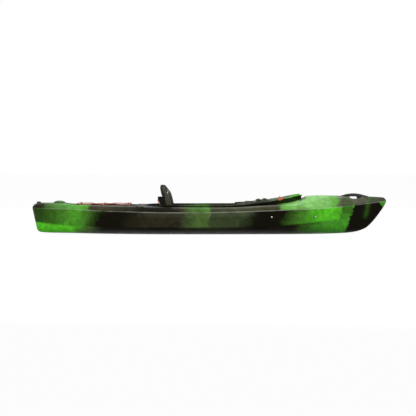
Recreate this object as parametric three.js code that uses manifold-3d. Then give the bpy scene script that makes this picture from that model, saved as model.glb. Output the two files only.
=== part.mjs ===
// A sit-inside fishing kayak: one rotomoulded hull with its fittings.
// Millimetres, +X to the bow, +Y to port, +Z up, z = 0 under the flat of the keel.
import * as THREE from "three";
import { mergeVertices } from "three/addons/utils/BufferGeometryUtils.js";
import Module from "manifold-3d";

const wasm = await Module();
wasm.setup();

// Driving dimensions of the hull
const hullLength = 3048;
const halfBeam = 365;
const deckHeight = 333;
const wall = 4;
const seatGap = 0.3;
const overrun = 20;
const transomRake = 46;
const transomRakeReach = 366;
const gunwaleStep = 5;
const gunwaleRise = 9;
const noseMargin = 46;
const sternMargin = 6;

// Cockpit rim and dash
const cockpitRear = -0.1798 * hullLength;
const cockpitFront = 0.25984 * hullLength;
const cockpitHalfWidth = 0.67945 * halfBeam;
const lipWidth = 17;
const lipThickness = 5;
const lipDrop = 5;
const rimFloor = 0.33 * deckHeight;
const rimReach = 600;
const dashRear = 0.0643 * hullLength;
const dashHollow = 0.03871 * hullLength;
const dashRise = 9;
const dashEdge = 14;
const cupX = 0.17979 * hullLength;
const cupRadius = 38;
const cupDepth = 62;
const cupDraft = 4;
const trayX = 0.11319 * hullLength;
const trayY = 0.32329 * halfBeam;
const trayLength = 72;
const trayWidth = 66;
const trayDepth = 12;
const restY = 0.32329 * halfBeam;
const restLength = 104;
const restSpace = 22;
const restHeight = 17;
const restWidth = 46;
const restShares = [[-0.42, 0.55], [-0.2, 1], [-0.08, 0.62], [0.08, 0.62], [0.2, 1.2], [0.45, 0.95]];

// Tankwell and stern hand-hold
const wellRear = -0.4042 * hullLength;
const wellFront = -0.20276 * hullLength;
const wellHalfWidth = 0.5863 * halfBeam;
const wellFloor = 0.38438 * deckHeight;
const wellDraft = 16;
const wellRearHalfWidth = 0.37808 * halfBeam;
const wellFillet = 22;
const crestX = -0.4252 * hullLength;
const crestLength = 104;
const crestHalfWidth = 0.25205 * halfBeam;
const crestRise = 20;
const gripHeight = 26;
const gripHalfWidth = 0.18082 * halfBeam;
const gripCover = 22;
const gripSetback = 16;
const crestSink = 4;

// Bow handle
const handleX = 0.41142 * hullLength;
const handleLength = 236;
const handleArch = 27.4;
const handleBar = 30;
const handleWidth = 30;
const handleFoot = 34;
const handleRise = 4;
const dishLength = 110;
const dishDepth = 24;
const handleLeg = 70;
const handleRound = 2;
const boltRadius = 3;
const boltHead = 6.5;
const boltHeadHeight = 3.5;
const boltLength = 30;
const boltInset = 17;
const boltSeat = 6;

// Drain plug
const drainX = -0.4836 * hullLength;
const bushRadius = 13;
const bushBore = 10;
const bushDepth = 22;
const flangeRadius = 20;
const flangeHeight = 3;
const gasketRadius = 15;
const gasketHeight = 2;
const knobRadius = 19;
const knobHeight = 11;
const knobGrips = 8;
const knobGripRadius = 3;
const knobCrownShare = 0.78;
const plugLength = 20;

// Deck loops and bungee
const loopHalfWidth = 11;
const loopHeight = 12;
const loopBar = 4;
const loopThickness = 6;
const loopBaseLength = 16;
const loopBaseHeight = 3;
const loopScrewRadius = 3.5;
const wellLoopShares = [-0.36745, -0.30052, -0.2336];
const wellLoopX = wellLoopShares.map((share) => share * hullLength);
const wellLoopOut = 17;
const bungeeRadius = 3;
const bungeeCross = 8;
const bungeeTurn = 8;
const bungeeTurnIn = 12;
const bungeeEnd = 16;
const bungeeTurnShares = [[1, 1], [0.3, 0.167], [-0.3, 0.167], [-1, 1]];
const bungeeEndShares = [[1, 1], [0, 0.167], [-1, 0.333], [-2, 1], [-2.5, 2.5]];
const knotRadius = 8;
const hookX = 0.19948 * hullLength;
const hookLength = 34;
const hookThickness = 7;
const hookUnder = 8;
const hookLift = 5;
const pullShare = 0.62;

// Rod holders, leaning back and out
const rodX = -0.19423 * hullLength;
const rodY = 0.71781 * halfBeam;
const rodRadius = 24;
const rodWall = 3;
const rodLength = 0.57057 * deckHeight;
const rodFlangeRadius = 35;
const rodFlangeHeight = 6;
const rodLean = 30;
const rodSplay = 7;

// Accessory plate
const plateX = 0.11155 * hullLength;
const plateY = -restY;
const plateLength = 70;
const plateWidth = 60;
const plateHeight = 5;
const plateBoss = 5;
const restX = plateX + plateLength / 2 + restSpace + restLength / 2;
const plateCorner = 8;
const plateScrewInset = 10;
const plateScrewRadius = 4;
const plateScrewHeight = 2;

// Foot braces
const braceReach = 373;
const braceRear = 0.17126 * hullLength;
const braceFront = braceRear + braceReach;
const braceZ = 0.47447 * deckHeight;
const railSpace = 7;
const railDepth = 14;
const railHeight = 34;
const railWall = 3;
const railSlot = 18;
const railEnd = 18;
const bossRadius = 9;
const rackPitch = 30;
const rackNotch = 8;
const rackDepth = 2;
const sledLength = 60;
const pedalWidth = 96;
const pedalHeight = 0.33634 * deckHeight;
const pedalThickness = 7;
const pedalRise = 8;
const pedalRib = 10;
const pedalCorner = 20;
const leverWidth = 13;
const leverThickness = 4;
const leverPivotY = 26;
const leverPivotZ = -27;
const leverPin = 2.5;
const leverTooth = 1;
const leverSetback = 14;
const leverReach = 20;
const leverDrop = 20;
const cheek = 3;

const screwReach = 14;
const screwWasher = 8.5;
const screwLand = 3;

// Seat
const seatRear = -396;
const seatFront = -22;
const seatHalfWidth = 0.52603 * halfBeam;
const seatRearHalfWidth = 0.41644 * halfBeam;
const seatTop = 40;
const seatSide = 60;
const seatWall = 4;
const seatLiftShare = 0.78;
const seatLip = 16;
const seatDish = 3;
const seatFlatShare = 0.88;
const seatDishShare = 0.78;
const earThickness = 6;
const earRadius = 17;
const cushionRear = -306;
const cushionFront = -44;
const cushionHalfWidth = 0.37808 * halfBeam;
const cushionHeight = 22;
const cushionGap = 0.6;
const cushionChannels = 4;
const cushionRoundShare = 0.12;
const cushionPower = 4;
const seatPlaceShares = [0, 0.1, 0.3, 0.5, 0.78, 0.84, 0.9, 0.95, 1];

// Backrest
const pivotX = -332;
const pivotZ = 76;
const pivotY = 0.35616 * halfBeam;
const pivotBolt = 5;
const backStart = 15;
const backHeight = 334;
const backHalfWidth = 0.56438 * halfBeam;
const backLean = 76;
const backWrap = 74;
const backWall = 4;
const padThickness = 25;
const padGap = 0.6;
const pouchDepth = 46;
const strapWidth = 25;
const strapThickness = 1.6;
const anchorX = -130;
const anchorLength = 30;
const anchorHeight = 15;
const anchorDepth = 6;
const slotLength = 30;
const slotWidth = 12;
const slotZ = 356;
const slotX = -362;

const strapSag = 8;
const strapShares = [0.93, 0.48];
const backSetback = 8;
const armReach = 30;
const armHeight = 64;
const slotTilt = 0.5;
const padWidthShare = 0.66;
const padLowShare = 0.1;
const padHighShare = 0.95;
const pouchWidthShare = 0.5;
const pouchLowShare = 0.2;
const pouchHighShare = 0.68;
const padChannels = 3;
const channelShare = 0.35;
const channelPower = 8;
const padEdgeShare = 0.25;
const padSidePower = 6;
const padEndPower = 8;
const padCrownPower = 0.4;
const drawShare = 0.06;
const leanPower = 0.62;
const wrapPower = 2.4;
const strapPlaceShares = [0, 0.33, 0.67, 1];
const pullThickness = 2;
const pullWidth = 18;
const pullRow = 1;

// Pads inside the hull
const thighRear = 0.01969 * hullLength;
const thighFront = 0.07612 * hullLength;
const thighInner = 0.70137 * halfBeam;
const thighOuter = 0.89315 * halfBeam;
const thighDepth = 22;
const pillarRear = 0.28215 * hullLength;
const pillarFront = 0.35761 * hullLength;
const pillarHalfWidth = 28;

// Tables of shares: place along the length, then value as a share of the size named after it
const halfBeamShares = [
  [-0.5, 0.15], [-0.496, 0.22], [-0.487, 0.3], [-0.469, 0.39], [-0.406, 0.58], [-0.3125, 0.775], [-0.219, 0.905],
  [-0.125, 0.975], [-0.031, 1], [0.0625, 0.98], [0.156, 0.903], [0.25, 0.77], [0.3125, 0.635], [0.375, 0.46],
  [0.422, 0.31], [0.453, 0.2], [0.478, 0.115], [0.492, 0.06], [0.5, 0.02],
];
const keelShares = [
  [-0.5, 0.11], [-0.496, 0.07], [-0.487, 0.05], [-0.464, 0.038], [-0.379, 0.027], [-0.3, 0.012], [-0.2, 0.003],
  [-0.13, 0], [0.22, 0], [0.3128, 0.005], [0.384, 0.026], [0.412, 0.057], [0.432, 0.109], [0.4434, 0.16],
  [0.4575, 0.274], [0.469, 0.394], [0.483, 0.566], [0.493, 0.7], [0.5, 0.82],
];
const gunwaleShares = [
  [-0.5, 0.67], [-0.379, 0.651], [-0.311, 0.617], [-0.197, 0.591], [-0.127, 0.577], [-0.027, 0.577], [0.058, 0.591],
  [0.143, 0.617], [0.228, 0.643], [0.313, 0.669], [0.37, 0.706], [0.404, 0.74], [0.44, 0.78], [0.492, 0.84],
  [0.5, 0.85],
];
const ridgeShares = [
  [-0.5, 0.7], [-0.495, 0.735], [-0.487, 0.765], [-0.475, 0.785], [-0.42, 0.785], [-0.379, 0.763], [-0.311, 0.751],
  [-0.2325, 0.746], [-0.169, 0.734], [-0.027, 0.711], [0.058, 0.712], [0.143, 0.745], [0.2, 0.76], [0.24, 0.775],
  [0.276, 0.8], [0.32, 0.8], [0.37, 0.815], [0.42, 0.835], [0.465, 0.865], [0.492, 0.875], [0.5, 0.865],
];
const crownShares = [
  [-0.5, 0.73], [-0.495, 0.775], [-0.487, 0.8], [-0.475, 0.811], [-0.42, 0.811], [-0.379, 0.77], [-0.311, 0.755],
  [-0.2325, 0.75], [-0.169, 0.74], [-0.027, 0.716], [0.058, 0.72], [0.143, 0.76], [0.2, 0.8], [0.236, 0.85],
  [0.2493, 0.88], [0.262, 0.935], [0.276, 0.988], [0.3128, 1], [0.355, 0.993], [0.384, 0.987], [0.449, 0.97],
  [0.4915, 0.945], [0.497, 0.91], [0.5, 0.87],
];
const chineWidthShares = [
  [-0.5, 0.9], [-0.4, 0.9], [-0.2, 0.925], [0, 0.93], [0.2, 0.91], [0.3, 0.84], [0.38, 0.7], [0.45, 0.55], [0.5, 0.6],
];
const chineHeightShares = [
  [-0.5, 0.34], [-0.4625, 0.3], [-0.379, 0.24], [-0.25, 0.216], [0, 0.212], [0.15, 0.232], [0.25, 0.3],
  [0.32, 0.36], [0.375, 0.41], [0.42, 0.47], [0.46, 0.6], [0.49, 0.78], [0.5, 0.84],
];
const backWidthShares = [
  [0, 0.62], [0.12, 0.86], [0.35, 0.99], [0.6, 1], [0.8, 0.93], [0.93, 0.78], [1, 0.55],
];
const backWrapShares = [[0, 0.12], [0.2, 0.7], [0.5, 1], [0.75, 0.92], [0.9, 0.55], [1, 0.22]];
const flatShares = [
  [-0.5, 0.5], [-0.4, 0.36], [-0.2, 0.33], [0.2, 0.33], [0.3, 0.24], [0.36, 0.12], [0.41, 0.06], [0.5, 0.04],
];
const rimHeightShares = [
  [-0.18, 0.768], [0.058, 0.772], [0.086, 0.787], [0.143, 0.838], [0.2, 0.921], [0.245, 1.006], [0.26, 1.02],
];
// Where the section has its points between the named ones, as shares of the way along y and z
const bilgeShares = [[0.5, 0.17], [0.85, 0.56]];
const sideShares = [0.58, 0.5];
const shoulderShares = [0.955, 0.5];
const ridgeWidthShare = 0.84;
const roofShares = [[0.56, 0.62], [0.28, 0.9]];

const outerStations = 30;
const innerStations = 18;
const stationBlendShare = 0.45;
const crestStationShares = [0.2493, 0.256, 0.262, 0.269, 0.276];

// Steps of the round forms, and limits of the geometry
const rimSteps = 18;
const rimRearShare = 0.16;
const rimRearPower = 2.4;
const rimFrontShare = 0.4;
const rimTaperPower = 1.9;
const rimTipPower = 0.8;
const wellSteps = 28;
const wellPower = 5;
const slabSteps = 14;
const dashSteps = 8;
const ballSteps = 14;
const roundSteps = 12;
const fewSteps = 6;
const cordSteps = 8;
const restSteps = 2;
const backRows = 9;
const backColumns = 10;
const padRows = 10;
const padColumns = 14;
const pouchRows = 8;
const pouchColumns = 10;
const cushionRows = 12;
const cushionColumns = 16;
const crossingShare = 0.97;
const filletShare = 0.3;
const bungeeCrossShare = 0.12;
const stepShare = 0.08;
const mergeDistance = 1e-4;
const cleanTolerance = 0.06;
const parallelLimit = 1e-6;
const middleStep = 0.3;
const stationMargin = 8;

// Colours and finishes
const green = new THREE.MeshStandardMaterial({ color: 0x4fae2a, roughness: 0.45, metalness: 0 });
const orange = new THREE.MeshStandardMaterial({ color: 0xd9581f, roughness: 0.8, metalness: 0 });
const steel = new THREE.MeshStandardMaterial({ color: 0xb9bab8, roughness: 0.35, metalness: 1 });
const rubber = new THREE.MeshStandardMaterial({ color: 0x151515, roughness: 0.8, metalness: 0 });
const fabric = new THREE.MeshStandardMaterial({ color: 0x33342f, roughness: 0.95, metalness: 0 });
const foam = new THREE.MeshStandardMaterial({ color: 0x2b2b2b, roughness: 1, metalness: 0 });
const black = new THREE.MeshStandardMaterial({ color: 0x1c1b18, roughness: 0.55, metalness: 0 });

// A smooth curve through a table of [place, value], with no overshoot between its points
function smoothTable(table) {
  const count = table.length;
  const slopes = [];
  for (let i = 0; i < count - 1; i += 1) {
    slopes.push((table[i + 1][1] - table[i][1]) / (table[i + 1][0] - table[i][0]));
  }
  const tangents = table.map((point, i) => {
    if (i === 0) return slopes[0];
    if (i === count - 1) return slopes[count - 2];
    const before = slopes[i - 1];
    const after = slopes[i];
    return before * after <= 0 ? 0 : (2 * before * after) / (before + after);
  });
  return (place) => {
    if (place <= table[0][0]) return table[0][1];
    if (place >= table[count - 1][0]) return table[count - 1][1];
    let i = 0;
    while (place > table[i + 1][0]) i += 1;
    const span = table[i + 1][0] - table[i][0];
    const t = (place - table[i][0]) / span;
    const a = table[i][1];
    const b = table[i + 1][1];
    const t2 = t * t;
    const t3 = t2 * t;
    return a * (2 * t3 - 3 * t2 + 1) + b * (3 * t2 - 2 * t3)
      + span * (tangents[i] * (t3 - 2 * t2 + t) + tangents[i + 1] * (t3 - t2));
  };
}

// The closed geometry of a surface given as rings of points, joined in order, with a cap at each end
function loft(rings) {
  const size = rings[0].length;
  const points = rings.flat();
  const faces = [];
  for (let r = 0; r < rings.length - 1; r += 1) {
    for (let i = 0; i < size; i += 1) {
      const j = (i + 1) % size;
      const a = r * size + i;
      const b = r * size + j;
      faces.push(a, b, a + size, b, b + size, a + size);
    }
  }
  for (const last of [false, true]) {
    const start = last ? (rings.length - 1) * size : 0;
    for (let low = 0, high = size - 1; low + 1 < high; low += 1, high -= 1) {
      const cap = [low, low + 1, high];
      if (low + 1 < high - 1) cap.push(low + 1, high - 1, high);
      const turned = last ? cap : cap.reverse();
      faces.push(...turned.map((corner) => start + corner));
    }
  }
  const geometry = new THREE.BufferGeometry().setFromPoints(points);
  geometry.setIndex(faces);
  return outward(geometry);
}

// Turns a closed geometry so that its faces point out, and keeps only its merged positions
function outward(source) {
  let geometry = source.clone();
  for (const name of Object.keys(geometry.attributes)) {
    if (name !== "position") geometry.deleteAttribute(name);
  }
  geometry = mergeVertices(geometry, mergeDistance);
  const position = geometry.attributes.position;
  const index = geometry.index.array;
  const corners = [new THREE.Vector3(), new THREE.Vector3(), new THREE.Vector3()];
  const faces = [];
  let volume = 0;
  for (let i = 0; i < index.length; i += 3) {
    const face = [index[i], index[i + 1], index[i + 2]];
    if (new Set(face).size < 3) continue;
    face.forEach((vertex, k) => corners[k].fromBufferAttribute(position, vertex));
    volume += corners[0].dot(corners[1].clone().cross(corners[2]));
    faces.push(face);
  }
  geometry.setIndex(faces.flatMap((face) => (volume < 0 ? face.reverse() : face)));
  return geometry;
}

// A geometry as a solid that can be joined and cut, and back
function solid(geometry) {
  const closed = outward(geometry);
  return new wasm.Manifold(new wasm.Mesh({
    numProp: 3,
    vertProperties: new Float32Array(closed.attributes.position.array),
    triVerts: new Uint32Array(closed.index.array),
  }));
}

function geometryOf(body) {
  const mesh = body.simplify(cleanTolerance).getMesh();
  const geometry = new THREE.BufferGeometry();
  const stride = mesh.numProp;
  const count = mesh.vertProperties.length / stride;
  const position = new Float32Array(count * 3);
  for (let i = 0; i < count; i += 1) {
    for (let k = 0; k < 3; k += 1) position[i * 3 + k] = mesh.vertProperties[i * stride + k];
  }
  geometry.setAttribute("position", new THREE.BufferAttribute(position, 3));
  geometry.setIndex(Array.from(mesh.triVerts));
  return geometry;
}

const mirrored = (geometry) => outward(geometry.clone().scale(1, -1, 1));

const halfBeamAt = smoothTable(halfBeamShares);
const keelAt = smoothTable(keelShares);
const gunwaleAt = smoothTable(gunwaleShares);
const ridgeAt = smoothTable(ridgeShares);
const crownAt = smoothTable(crownShares);
const chineWidthAt = smoothTable(chineWidthShares);
const chineHeightAt = smoothTable(chineHeightShares);
const flatAt = smoothTable(flatShares);
const rimHeightAt = smoothTable(rimHeightShares);
const mix = (a, b, share) => a + (b - a) * share;

// Half of the hull's section at x, as [y, z] from the keel round the port side to the middle of the deck
function halfSection(x) {
  const s = x / hullLength;
  const beam = halfBeam * halfBeamAt(s);
  const keel = deckHeight * keelAt(s);
  const flat = beam * flatAt(s);
  const chine = [beam * chineWidthAt(s), Math.max(deckHeight * chineHeightAt(s), keel + gunwaleStep)];
  const gunwale = [beam, Math.max(deckHeight * gunwaleAt(s), chine[1] + gunwaleStep)];
  const step = Math.min(gunwaleStep, beam * stepShare);
  const ledge = [beam - step, gunwale[1] + Math.min(gunwaleRise, beam * stepShare)];
  const ridge = [beam * ridgeWidthShare, Math.max(deckHeight * ridgeAt(s), ledge[1] + step)];
  const crown = Math.max(deckHeight * crownAt(s), ridge[1] + step);
  return [
    [0, keel],
    [flat, keel],
    ...bilgeShares.map(([out, up]) => [mix(flat, chine[0], out), mix(keel, chine[1], up)]),
    chine,
    [mix(chine[0], gunwale[0], sideShares[0]), mix(chine[1], gunwale[1], sideShares[1])],
    gunwale,
    ledge,
    [beam * shoulderShares[0], mix(ledge[1], ridge[1], shoulderShares[1])],
    ridge,
    ...roofShares.map(([out, up]) => [beam * out, mix(ridge[1], crown, up)]),
    [0, crown],
  ];
}

// The same half section moved in by the inset, with what would cross the middle held just beside it
function insetSection(half, inset) {
  const edges = half.slice(1).map((point, i) => {
    const dy = point[0] - half[i][0];
    const dz = point[1] - half[i][1];
    const size = Math.hypot(dy, dz);
    return { y: half[i][0] - (inset * dz) / size, z: half[i][1] + (inset * dy) / size, dy: dy / size, dz: dz / size };
  });
  const atMiddle = (edge, y) => edge.z + ((y - edge.y) * edge.dz) / edge.dy;
  const moved = half.map((point, i) => {
    if (i === 0) return [0, atMiddle(edges[0], 0)];
    if (i === half.length - 1) return [0, atMiddle(edges[i - 1], 0)];
    const a = edges[i - 1];
    const b = edges[i];
    const cross = a.dy * b.dz - a.dz * b.dy;
    if (Math.abs(cross) < parallelLimit) return [b.y, b.z];
    const along = ((b.y - a.y) * b.dz - (b.z - a.z) * b.dy) / cross;
    return [a.y + a.dy * along, a.z + a.dz * along];
  });
  for (let i = moved.length - 2; i >= 0; i -= 1) {
    const least = i * middleStep;
    if (moved[i][0] < least && edges[i].dy > parallelLimit) moved[i] = [least, atMiddle(edges[i], least)];
  }
  return moved;
}

function sternShift(x, z) {
  const blend = THREE.MathUtils.clamp(1 - (x + hullLength / 2) / transomRakeReach, 0, 1);
  return transomRake * blend * Math.max(1 - z / (deckHeight * gunwaleAt(-0.5)), 0);
}

function hullRing(x, inset) {
  const half = inset ? insetSection(halfSection(x), inset) : halfSection(x);
  const other = half.slice(1, -1).reverse().map(([y, z]) => [-y, z]);
  return [...half, ...other].map(([y, z]) => new THREE.Vector3(x + sternShift(x, z), y, z));
}

// Stations lie closer together at the ends, where the form turns
function hullStations(from, to, count) {
  const places = crestStationShares.map((share) => share * hullLength);
  for (let i = 0; i <= count; i += 1) {
    const t = i / count - 0.5;
    const spread = mix(t, Math.sin(Math.PI * t) / 2, stationBlendShare);
    places.push(mix(from, to, spread + 0.5));
  }
  places.sort((a, b) => a - b);
  return places.filter((place, i) => i === 0 || place - places[i - 1] > stationMargin);
}

function hullBody(inset, sternGap, noseGap) {
  const count = inset > 0 ? innerStations : outerStations;
  const stations = hullStations(-hullLength / 2 + sternGap, hullLength / 2 - noseGap, count);
  return solid(loft(stations.map((x) => hullRing(x, inset))));
}

// Where the hull's surface lies: half its width at a height on the side, and the deck's or floor's height
function sideWidth(x, z, inset) {
  const half = insetSection(halfSection(x), inset);
  for (let i = 1; i < half.length - 1; i += 1) {
    const [y0, z0] = half[i];
    const [y1, z1] = half[i + 1];
    if (z0 <= z && z <= z1) return mix(y0, y1, (z - z0) / (z1 - z0));
  }
  return half[0][0];
}

function heightAt(x, y, inset, upper) {
  const half = insetSection(halfSection(x), inset);
  const order = upper ? half.slice().reverse() : half;
  const across = Math.abs(y);
  for (let i = 0; i < order.length - 1; i += 1) {
    const [y0, z0] = order[i];
    const [y1, z1] = order[i + 1];
    if (y0 <= across && across <= y1) return mix(z0, z1, (across - y0) / (y1 - y0));
  }
  return order[0][1];
}
const deckZ = (x, y) => heightAt(x, y, 0, true);
const floorZ = (x, y) => heightAt(x, y, wall, false);
const underDeckZ = (x, y) => heightAt(x, y, wall, true);

// A closed outline moved out by a distance
function movedOut(outline, distance) {
  const count = outline.length;
  const area = outline.reduce((sum, [x, y], i) => {
    const [nextX, nextY] = outline[(i + 1) % count];
    return sum + x * nextY - nextX * y;
  }, 0);
  const side = Math.sign(area) * distance;
  return outline.map(([x, y], i) => {
    const [bx, by] = outline[(i + count - 1) % count];
    const [ax, ay] = outline[(i + 1) % count];
    const size = Math.hypot(ax - bx, ay - by);
    return [x + (side * (ay - by)) / size, y - (side * (ax - bx)) / size];
  });
}

// The same without the points that cross over where a narrow end is moved in
function trimmed(outline, distance) {
  const reach = Math.abs(distance) * crossingShare;
  return movedOut(outline, distance).filter(([x, y]) => outline.every(([ax, ay], i) => {
    const [bx, by] = outline[(i + 1) % outline.length];
    const span = (bx - ax) ** 2 + (by - ay) ** 2;
    const t = THREE.MathUtils.clamp(((x - ax) * (bx - ax) + (y - ay) * (by - ay)) / span, 0, 1);
    return Math.hypot(x - mix(ax, bx, t), y - mix(ay, by, t)) >= reach;
  }));
}

function prism(outline, low, high) {
  const shape = new THREE.Shape(outline.map(([x, y]) => new THREE.Vector2(x, y)));
  const geometry = new THREE.ExtrudeGeometry(shape, { depth: high - low, bevelEnabled: false });
  return solid(geometry.translate(0, 0, low));
}

// What lies between two heights that change along the length
function slab(from, to, halfWidth, low, high) {
  const rings = [];
  for (let i = 0; i <= slabSteps; i += 1) {
    const x = mix(from, to, i / slabSteps);
    rings.push([[-halfWidth, low(x)], [halfWidth, low(x)], [halfWidth, high(x)], [-halfWidth, high(x)]]
      .map(([y, z]) => new THREE.Vector3(x, y, z)));
  }
  return solid(loft(rings));
}

// Plan outlines: the cockpit rim is round behind and drawn to a point ahead, the tankwell a rounded trapezoid
function rimOutline() {
  const half = [];
  const length = cockpitFront - cockpitRear;
  for (let i = 0; i <= rimSteps; i += 1) {
    const t = 0.5 - Math.cos((Math.PI * i) / rimSteps) / 2;
    const rear = t < rimRearShare ? (1 - (1 - t / rimRearShare) ** rimRearPower) ** (1 / rimRearPower) : 1;
    const taper = Math.max(t - rimFrontShare, 0) / (1 - rimFrontShare);
    half.push([cockpitRear + t * length, cockpitHalfWidth * rear * (1 - taper ** rimTaperPower) ** rimTipPower]);
  }
  const other = half.slice(1, -1).reverse().map(([x, y]) => [x, -y]);
  return [...other, ...half].reverse();
}

function wellOutline() {
  const outline = [];
  for (let i = 0; i < wellSteps; i += 1) {
    const angle = (2 * Math.PI * i) / wellSteps;
    const along = Math.sign(Math.cos(angle)) * Math.abs(Math.cos(angle)) ** (2 / wellPower);
    const across = Math.sign(Math.sin(angle)) * Math.abs(Math.sin(angle)) ** (2 / wellPower);
    const width = mix(wellRearHalfWidth, wellHalfWidth, (along + 1) / 2);
    outline.push([mix(wellRear, wellFront, (along + 1) / 2), across * width]);
  }
  return outline;
}

function wellSolid(expand) {
  const plan = wellOutline();
  const levels = [
    [wellFloor - expand, -wellDraft - wellFillet],
    [wellFloor + wellFillet * filletShare - expand, -wellDraft - wellFillet * filletShare],
    [wellFloor + wellFillet, -wellDraft],
    [deckHeight, 0],
  ];
  return solid(loft(levels.map(([z, out]) => movedOut(plan, out + expand)
    .map(([x, y]) => new THREE.Vector3(x, y, z)))));
}

const rimPlan = rimOutline();
const rimZ = (x) => deckHeight * rimHeightAt(x / hullLength);
const rimLow = () => rimFloor;
const cutLow = () => rimFloor - overrun;

function rimSolid() {
  const from = cockpitRear - overrun;
  const to = cockpitFront + overrun;
  const across = cockpitHalfWidth + overrun;
  const whole = prism(trimmed(rimPlan, lipWidth), 0, rimReach).intersect(slab(from, to, across, rimLow, rimZ));
  const standing = prism(rimPlan, 0, rimReach);
  const hollow = prism(trimmed(rimPlan, lipWidth - lipThickness), 0, rimReach).subtract(standing);
  const below = prism(trimmed(rimPlan, lipWidth + overrun), 0, rimReach).subtract(standing);
  const wide = across + overrun;
  const underLip = slab(from, to, wide, cutLow, (x) => rimZ(x) - lipThickness);
  const underDrop = slab(from, to, wide, cutLow, (x) => rimZ(x) - lipThickness - lipDrop);
  return whole.subtract(hollow.intersect(underLip)).subtract(below.intersect(underDrop));
}

// The dash fills the front of the cockpit rim and its rear edge curves forward in the middle
function dashRegion() {
  const outline = [];
  for (let i = 0; i <= dashSteps; i += 1) {
    const across = (2 * i) / dashSteps - 1;
    outline.push([dashRear + dashHollow * Math.cos((Math.PI / 2) * across), across * cockpitHalfWidth]);
  }
  outline.push([cockpitFront + overrun, cockpitHalfWidth], [cockpitFront + overrun, -cockpitHalfWidth]);
  return outline;
}

function dashSolid(inset) {
  const region = prism(trimmed(dashRegion(), -inset), 0, rimReach);
  const top = slab(cockpitRear, cockpitFront, cockpitHalfWidth, rimLow, (x) => rimZ(x) + dashRise - inset);
  return prism(trimmed(rimPlan, -dashEdge - inset), 0, rimReach).intersect(region).intersect(top);
}

function ellipsoid(x, z, length, width, height) {
  const geometry = new THREE.SphereGeometry(1, ballSteps, ballSteps / 2);
  geometry.rotateX(Math.PI / 2).scale(length / 2, width / 2, height).translate(x, 0, z);
  return solid(geometry);
}

// A rounded slot from the tankwell back under the crest, for the fingers
function gripSolid(expand) {
  const halfWidth = gripHalfWidth + expand;
  const half = gripHeight / 2 + expand;
  const start = crestX - crestLength / 2 + gripSetback - expand;
  const shape = new THREE.Shape();
  shape.absarc(halfWidth - half, 0, half, -Math.PI / 2, Math.PI / 2, false);
  shape.absarc(half - halfWidth, 0, half, Math.PI / 2, (3 * Math.PI) / 2, false);
  const geometry = new THREE.ExtrudeGeometry(shape, {
    depth: wellRear + wellDraft - start, bevelEnabled: false, curveSegments: roundSteps / 2,
  });
  geometry.rotateX(Math.PI / 2).rotateZ(Math.PI / 2);
  return solid(geometry.translate(start, 0, deckZ(crestX, 0) + crestRise - gripCover - gripHeight / 2));
}

// The dish in the foredeck that makes room for the hand under the bow handle
function dishSolid(expand) {
  const geometry = new THREE.CylinderGeometry(1, 1, 2 * halfBeam, roundSteps * 2);
  geometry.scale(dishLength / 2 + expand, 1, dishDepth + expand);
  return solid(geometry.translate(handleX, 0, deckZ(handleX, 0)));
}

function cupSolid(expand) {
  const radius = cupRadius + expand;
  const geometry = new THREE.CylinderGeometry(radius, radius - cupDraft, cupDepth + expand + overrun, roundSteps * 2);
  geometry.rotateX(Math.PI / 2);
  return solid(geometry.translate(cupX, 0, rimZ(cupX) + dashRise + overrun / 2 - (cupDepth + expand) / 2));
}

function traySolid(expand) {
  const geometry = new THREE.BoxGeometry(trayLength + 2 * expand, trayWidth + 2 * expand, trayDepth + expand + overrun);
  return solid(geometry.translate(trayX, trayY, rimZ(trayX) + dashRise + overrun / 2 - (trayDepth + expand) / 2));
}

// Two horns with a dip between them, for the shaft of a paddle laid across the dash
function paddleRest() {
  const low = rimZ(restX) + dashRise - lipThickness;
  const shape = new THREE.Shape();
  shape.moveTo(-restLength / 2, 0);
  shape.splineThru(restShares.map(([along, up]) => new THREE.Vector2(along * restLength, up * restHeight)));
  shape.lineTo(restLength / 2, 0);
  shape.closePath();
  const geometry = new THREE.ExtrudeGeometry(shape, { depth: restWidth, bevelEnabled: false, curveSegments: restSteps });
  geometry.rotateX(Math.PI / 2).translate(restX, restWidth / 2, low);
  return geometry;
}

// A level flat on the dash that the accessory plate is screwed to
function plateSeat() {
  const outline = roundedOutline(plateLength + 2 * plateCorner, plateWidth + 2 * plateCorner, 2 * plateCorner);
  const geometry = extruded(outline, overrun).translate(0, 0, plateBoss - overrun);
  return solid(geometry.translate(plateX, plateY, rimZ(plateX) + dashRise));
}

function hullShell() {
  const pockets = (expand) => wellSolid(expand)
    .add(gripSolid(expand)).add(dishSolid(expand)).add(cupSolid(expand)).add(traySolid(expand));
  let outer = hullBody(0, 0, 0).add(rimSolid()).add(dashSolid(0));
  outer = outer.add(ellipsoid(crestX, deckZ(crestX, 0) - crestSink, crestLength, 2 * crestHalfWidth,
    crestRise + crestSink));
  for (const side of [-1, 1]) outer = outer.add(solid(paddleRest().translate(0, side * restY, 0)));
  outer = outer.add(plateSeat().intersect(prism(trimmed(rimPlan, -dashEdge), 0, rimReach)));
  const opening = prism(trimmed(rimPlan, -wall), rimFloor, rimReach);
  const underRim = opening.intersect(slab(cockpitRear, cockpitFront, cockpitHalfWidth, rimLow, (x) => rimZ(x) - wall));
  let inner = hullBody(wall, sternMargin, noseMargin).add(underRim).add(dashSolid(wall));
  inner = inner.subtract(pockets(wall)).subtract(plateSeat());
  let shell = outer.subtract(pockets(0)).subtract(inner);
  shell = shell.subtract(opening.subtract(prism(dashRegion(), 0, rimReach)));
  for (const hole of fittingHoles()) shell = shell.subtract(hole);
  return shell;
}

// Shapes shared by the fittings
function lathe(profile, steps = roundSteps) {
  return new THREE.LatheGeometry(profile.map(([r, z]) => new THREE.Vector2(r, z)), steps).rotateX(Math.PI / 2);
}

function extruded(points, depth) {
  const shape = new THREE.Shape(points.map(([x, y]) => new THREE.Vector2(x, y)));
  return new THREE.ExtrudeGeometry(shape, { depth, bevelEnabled: false, curveSegments: roundSteps / 2 });
}

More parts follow.
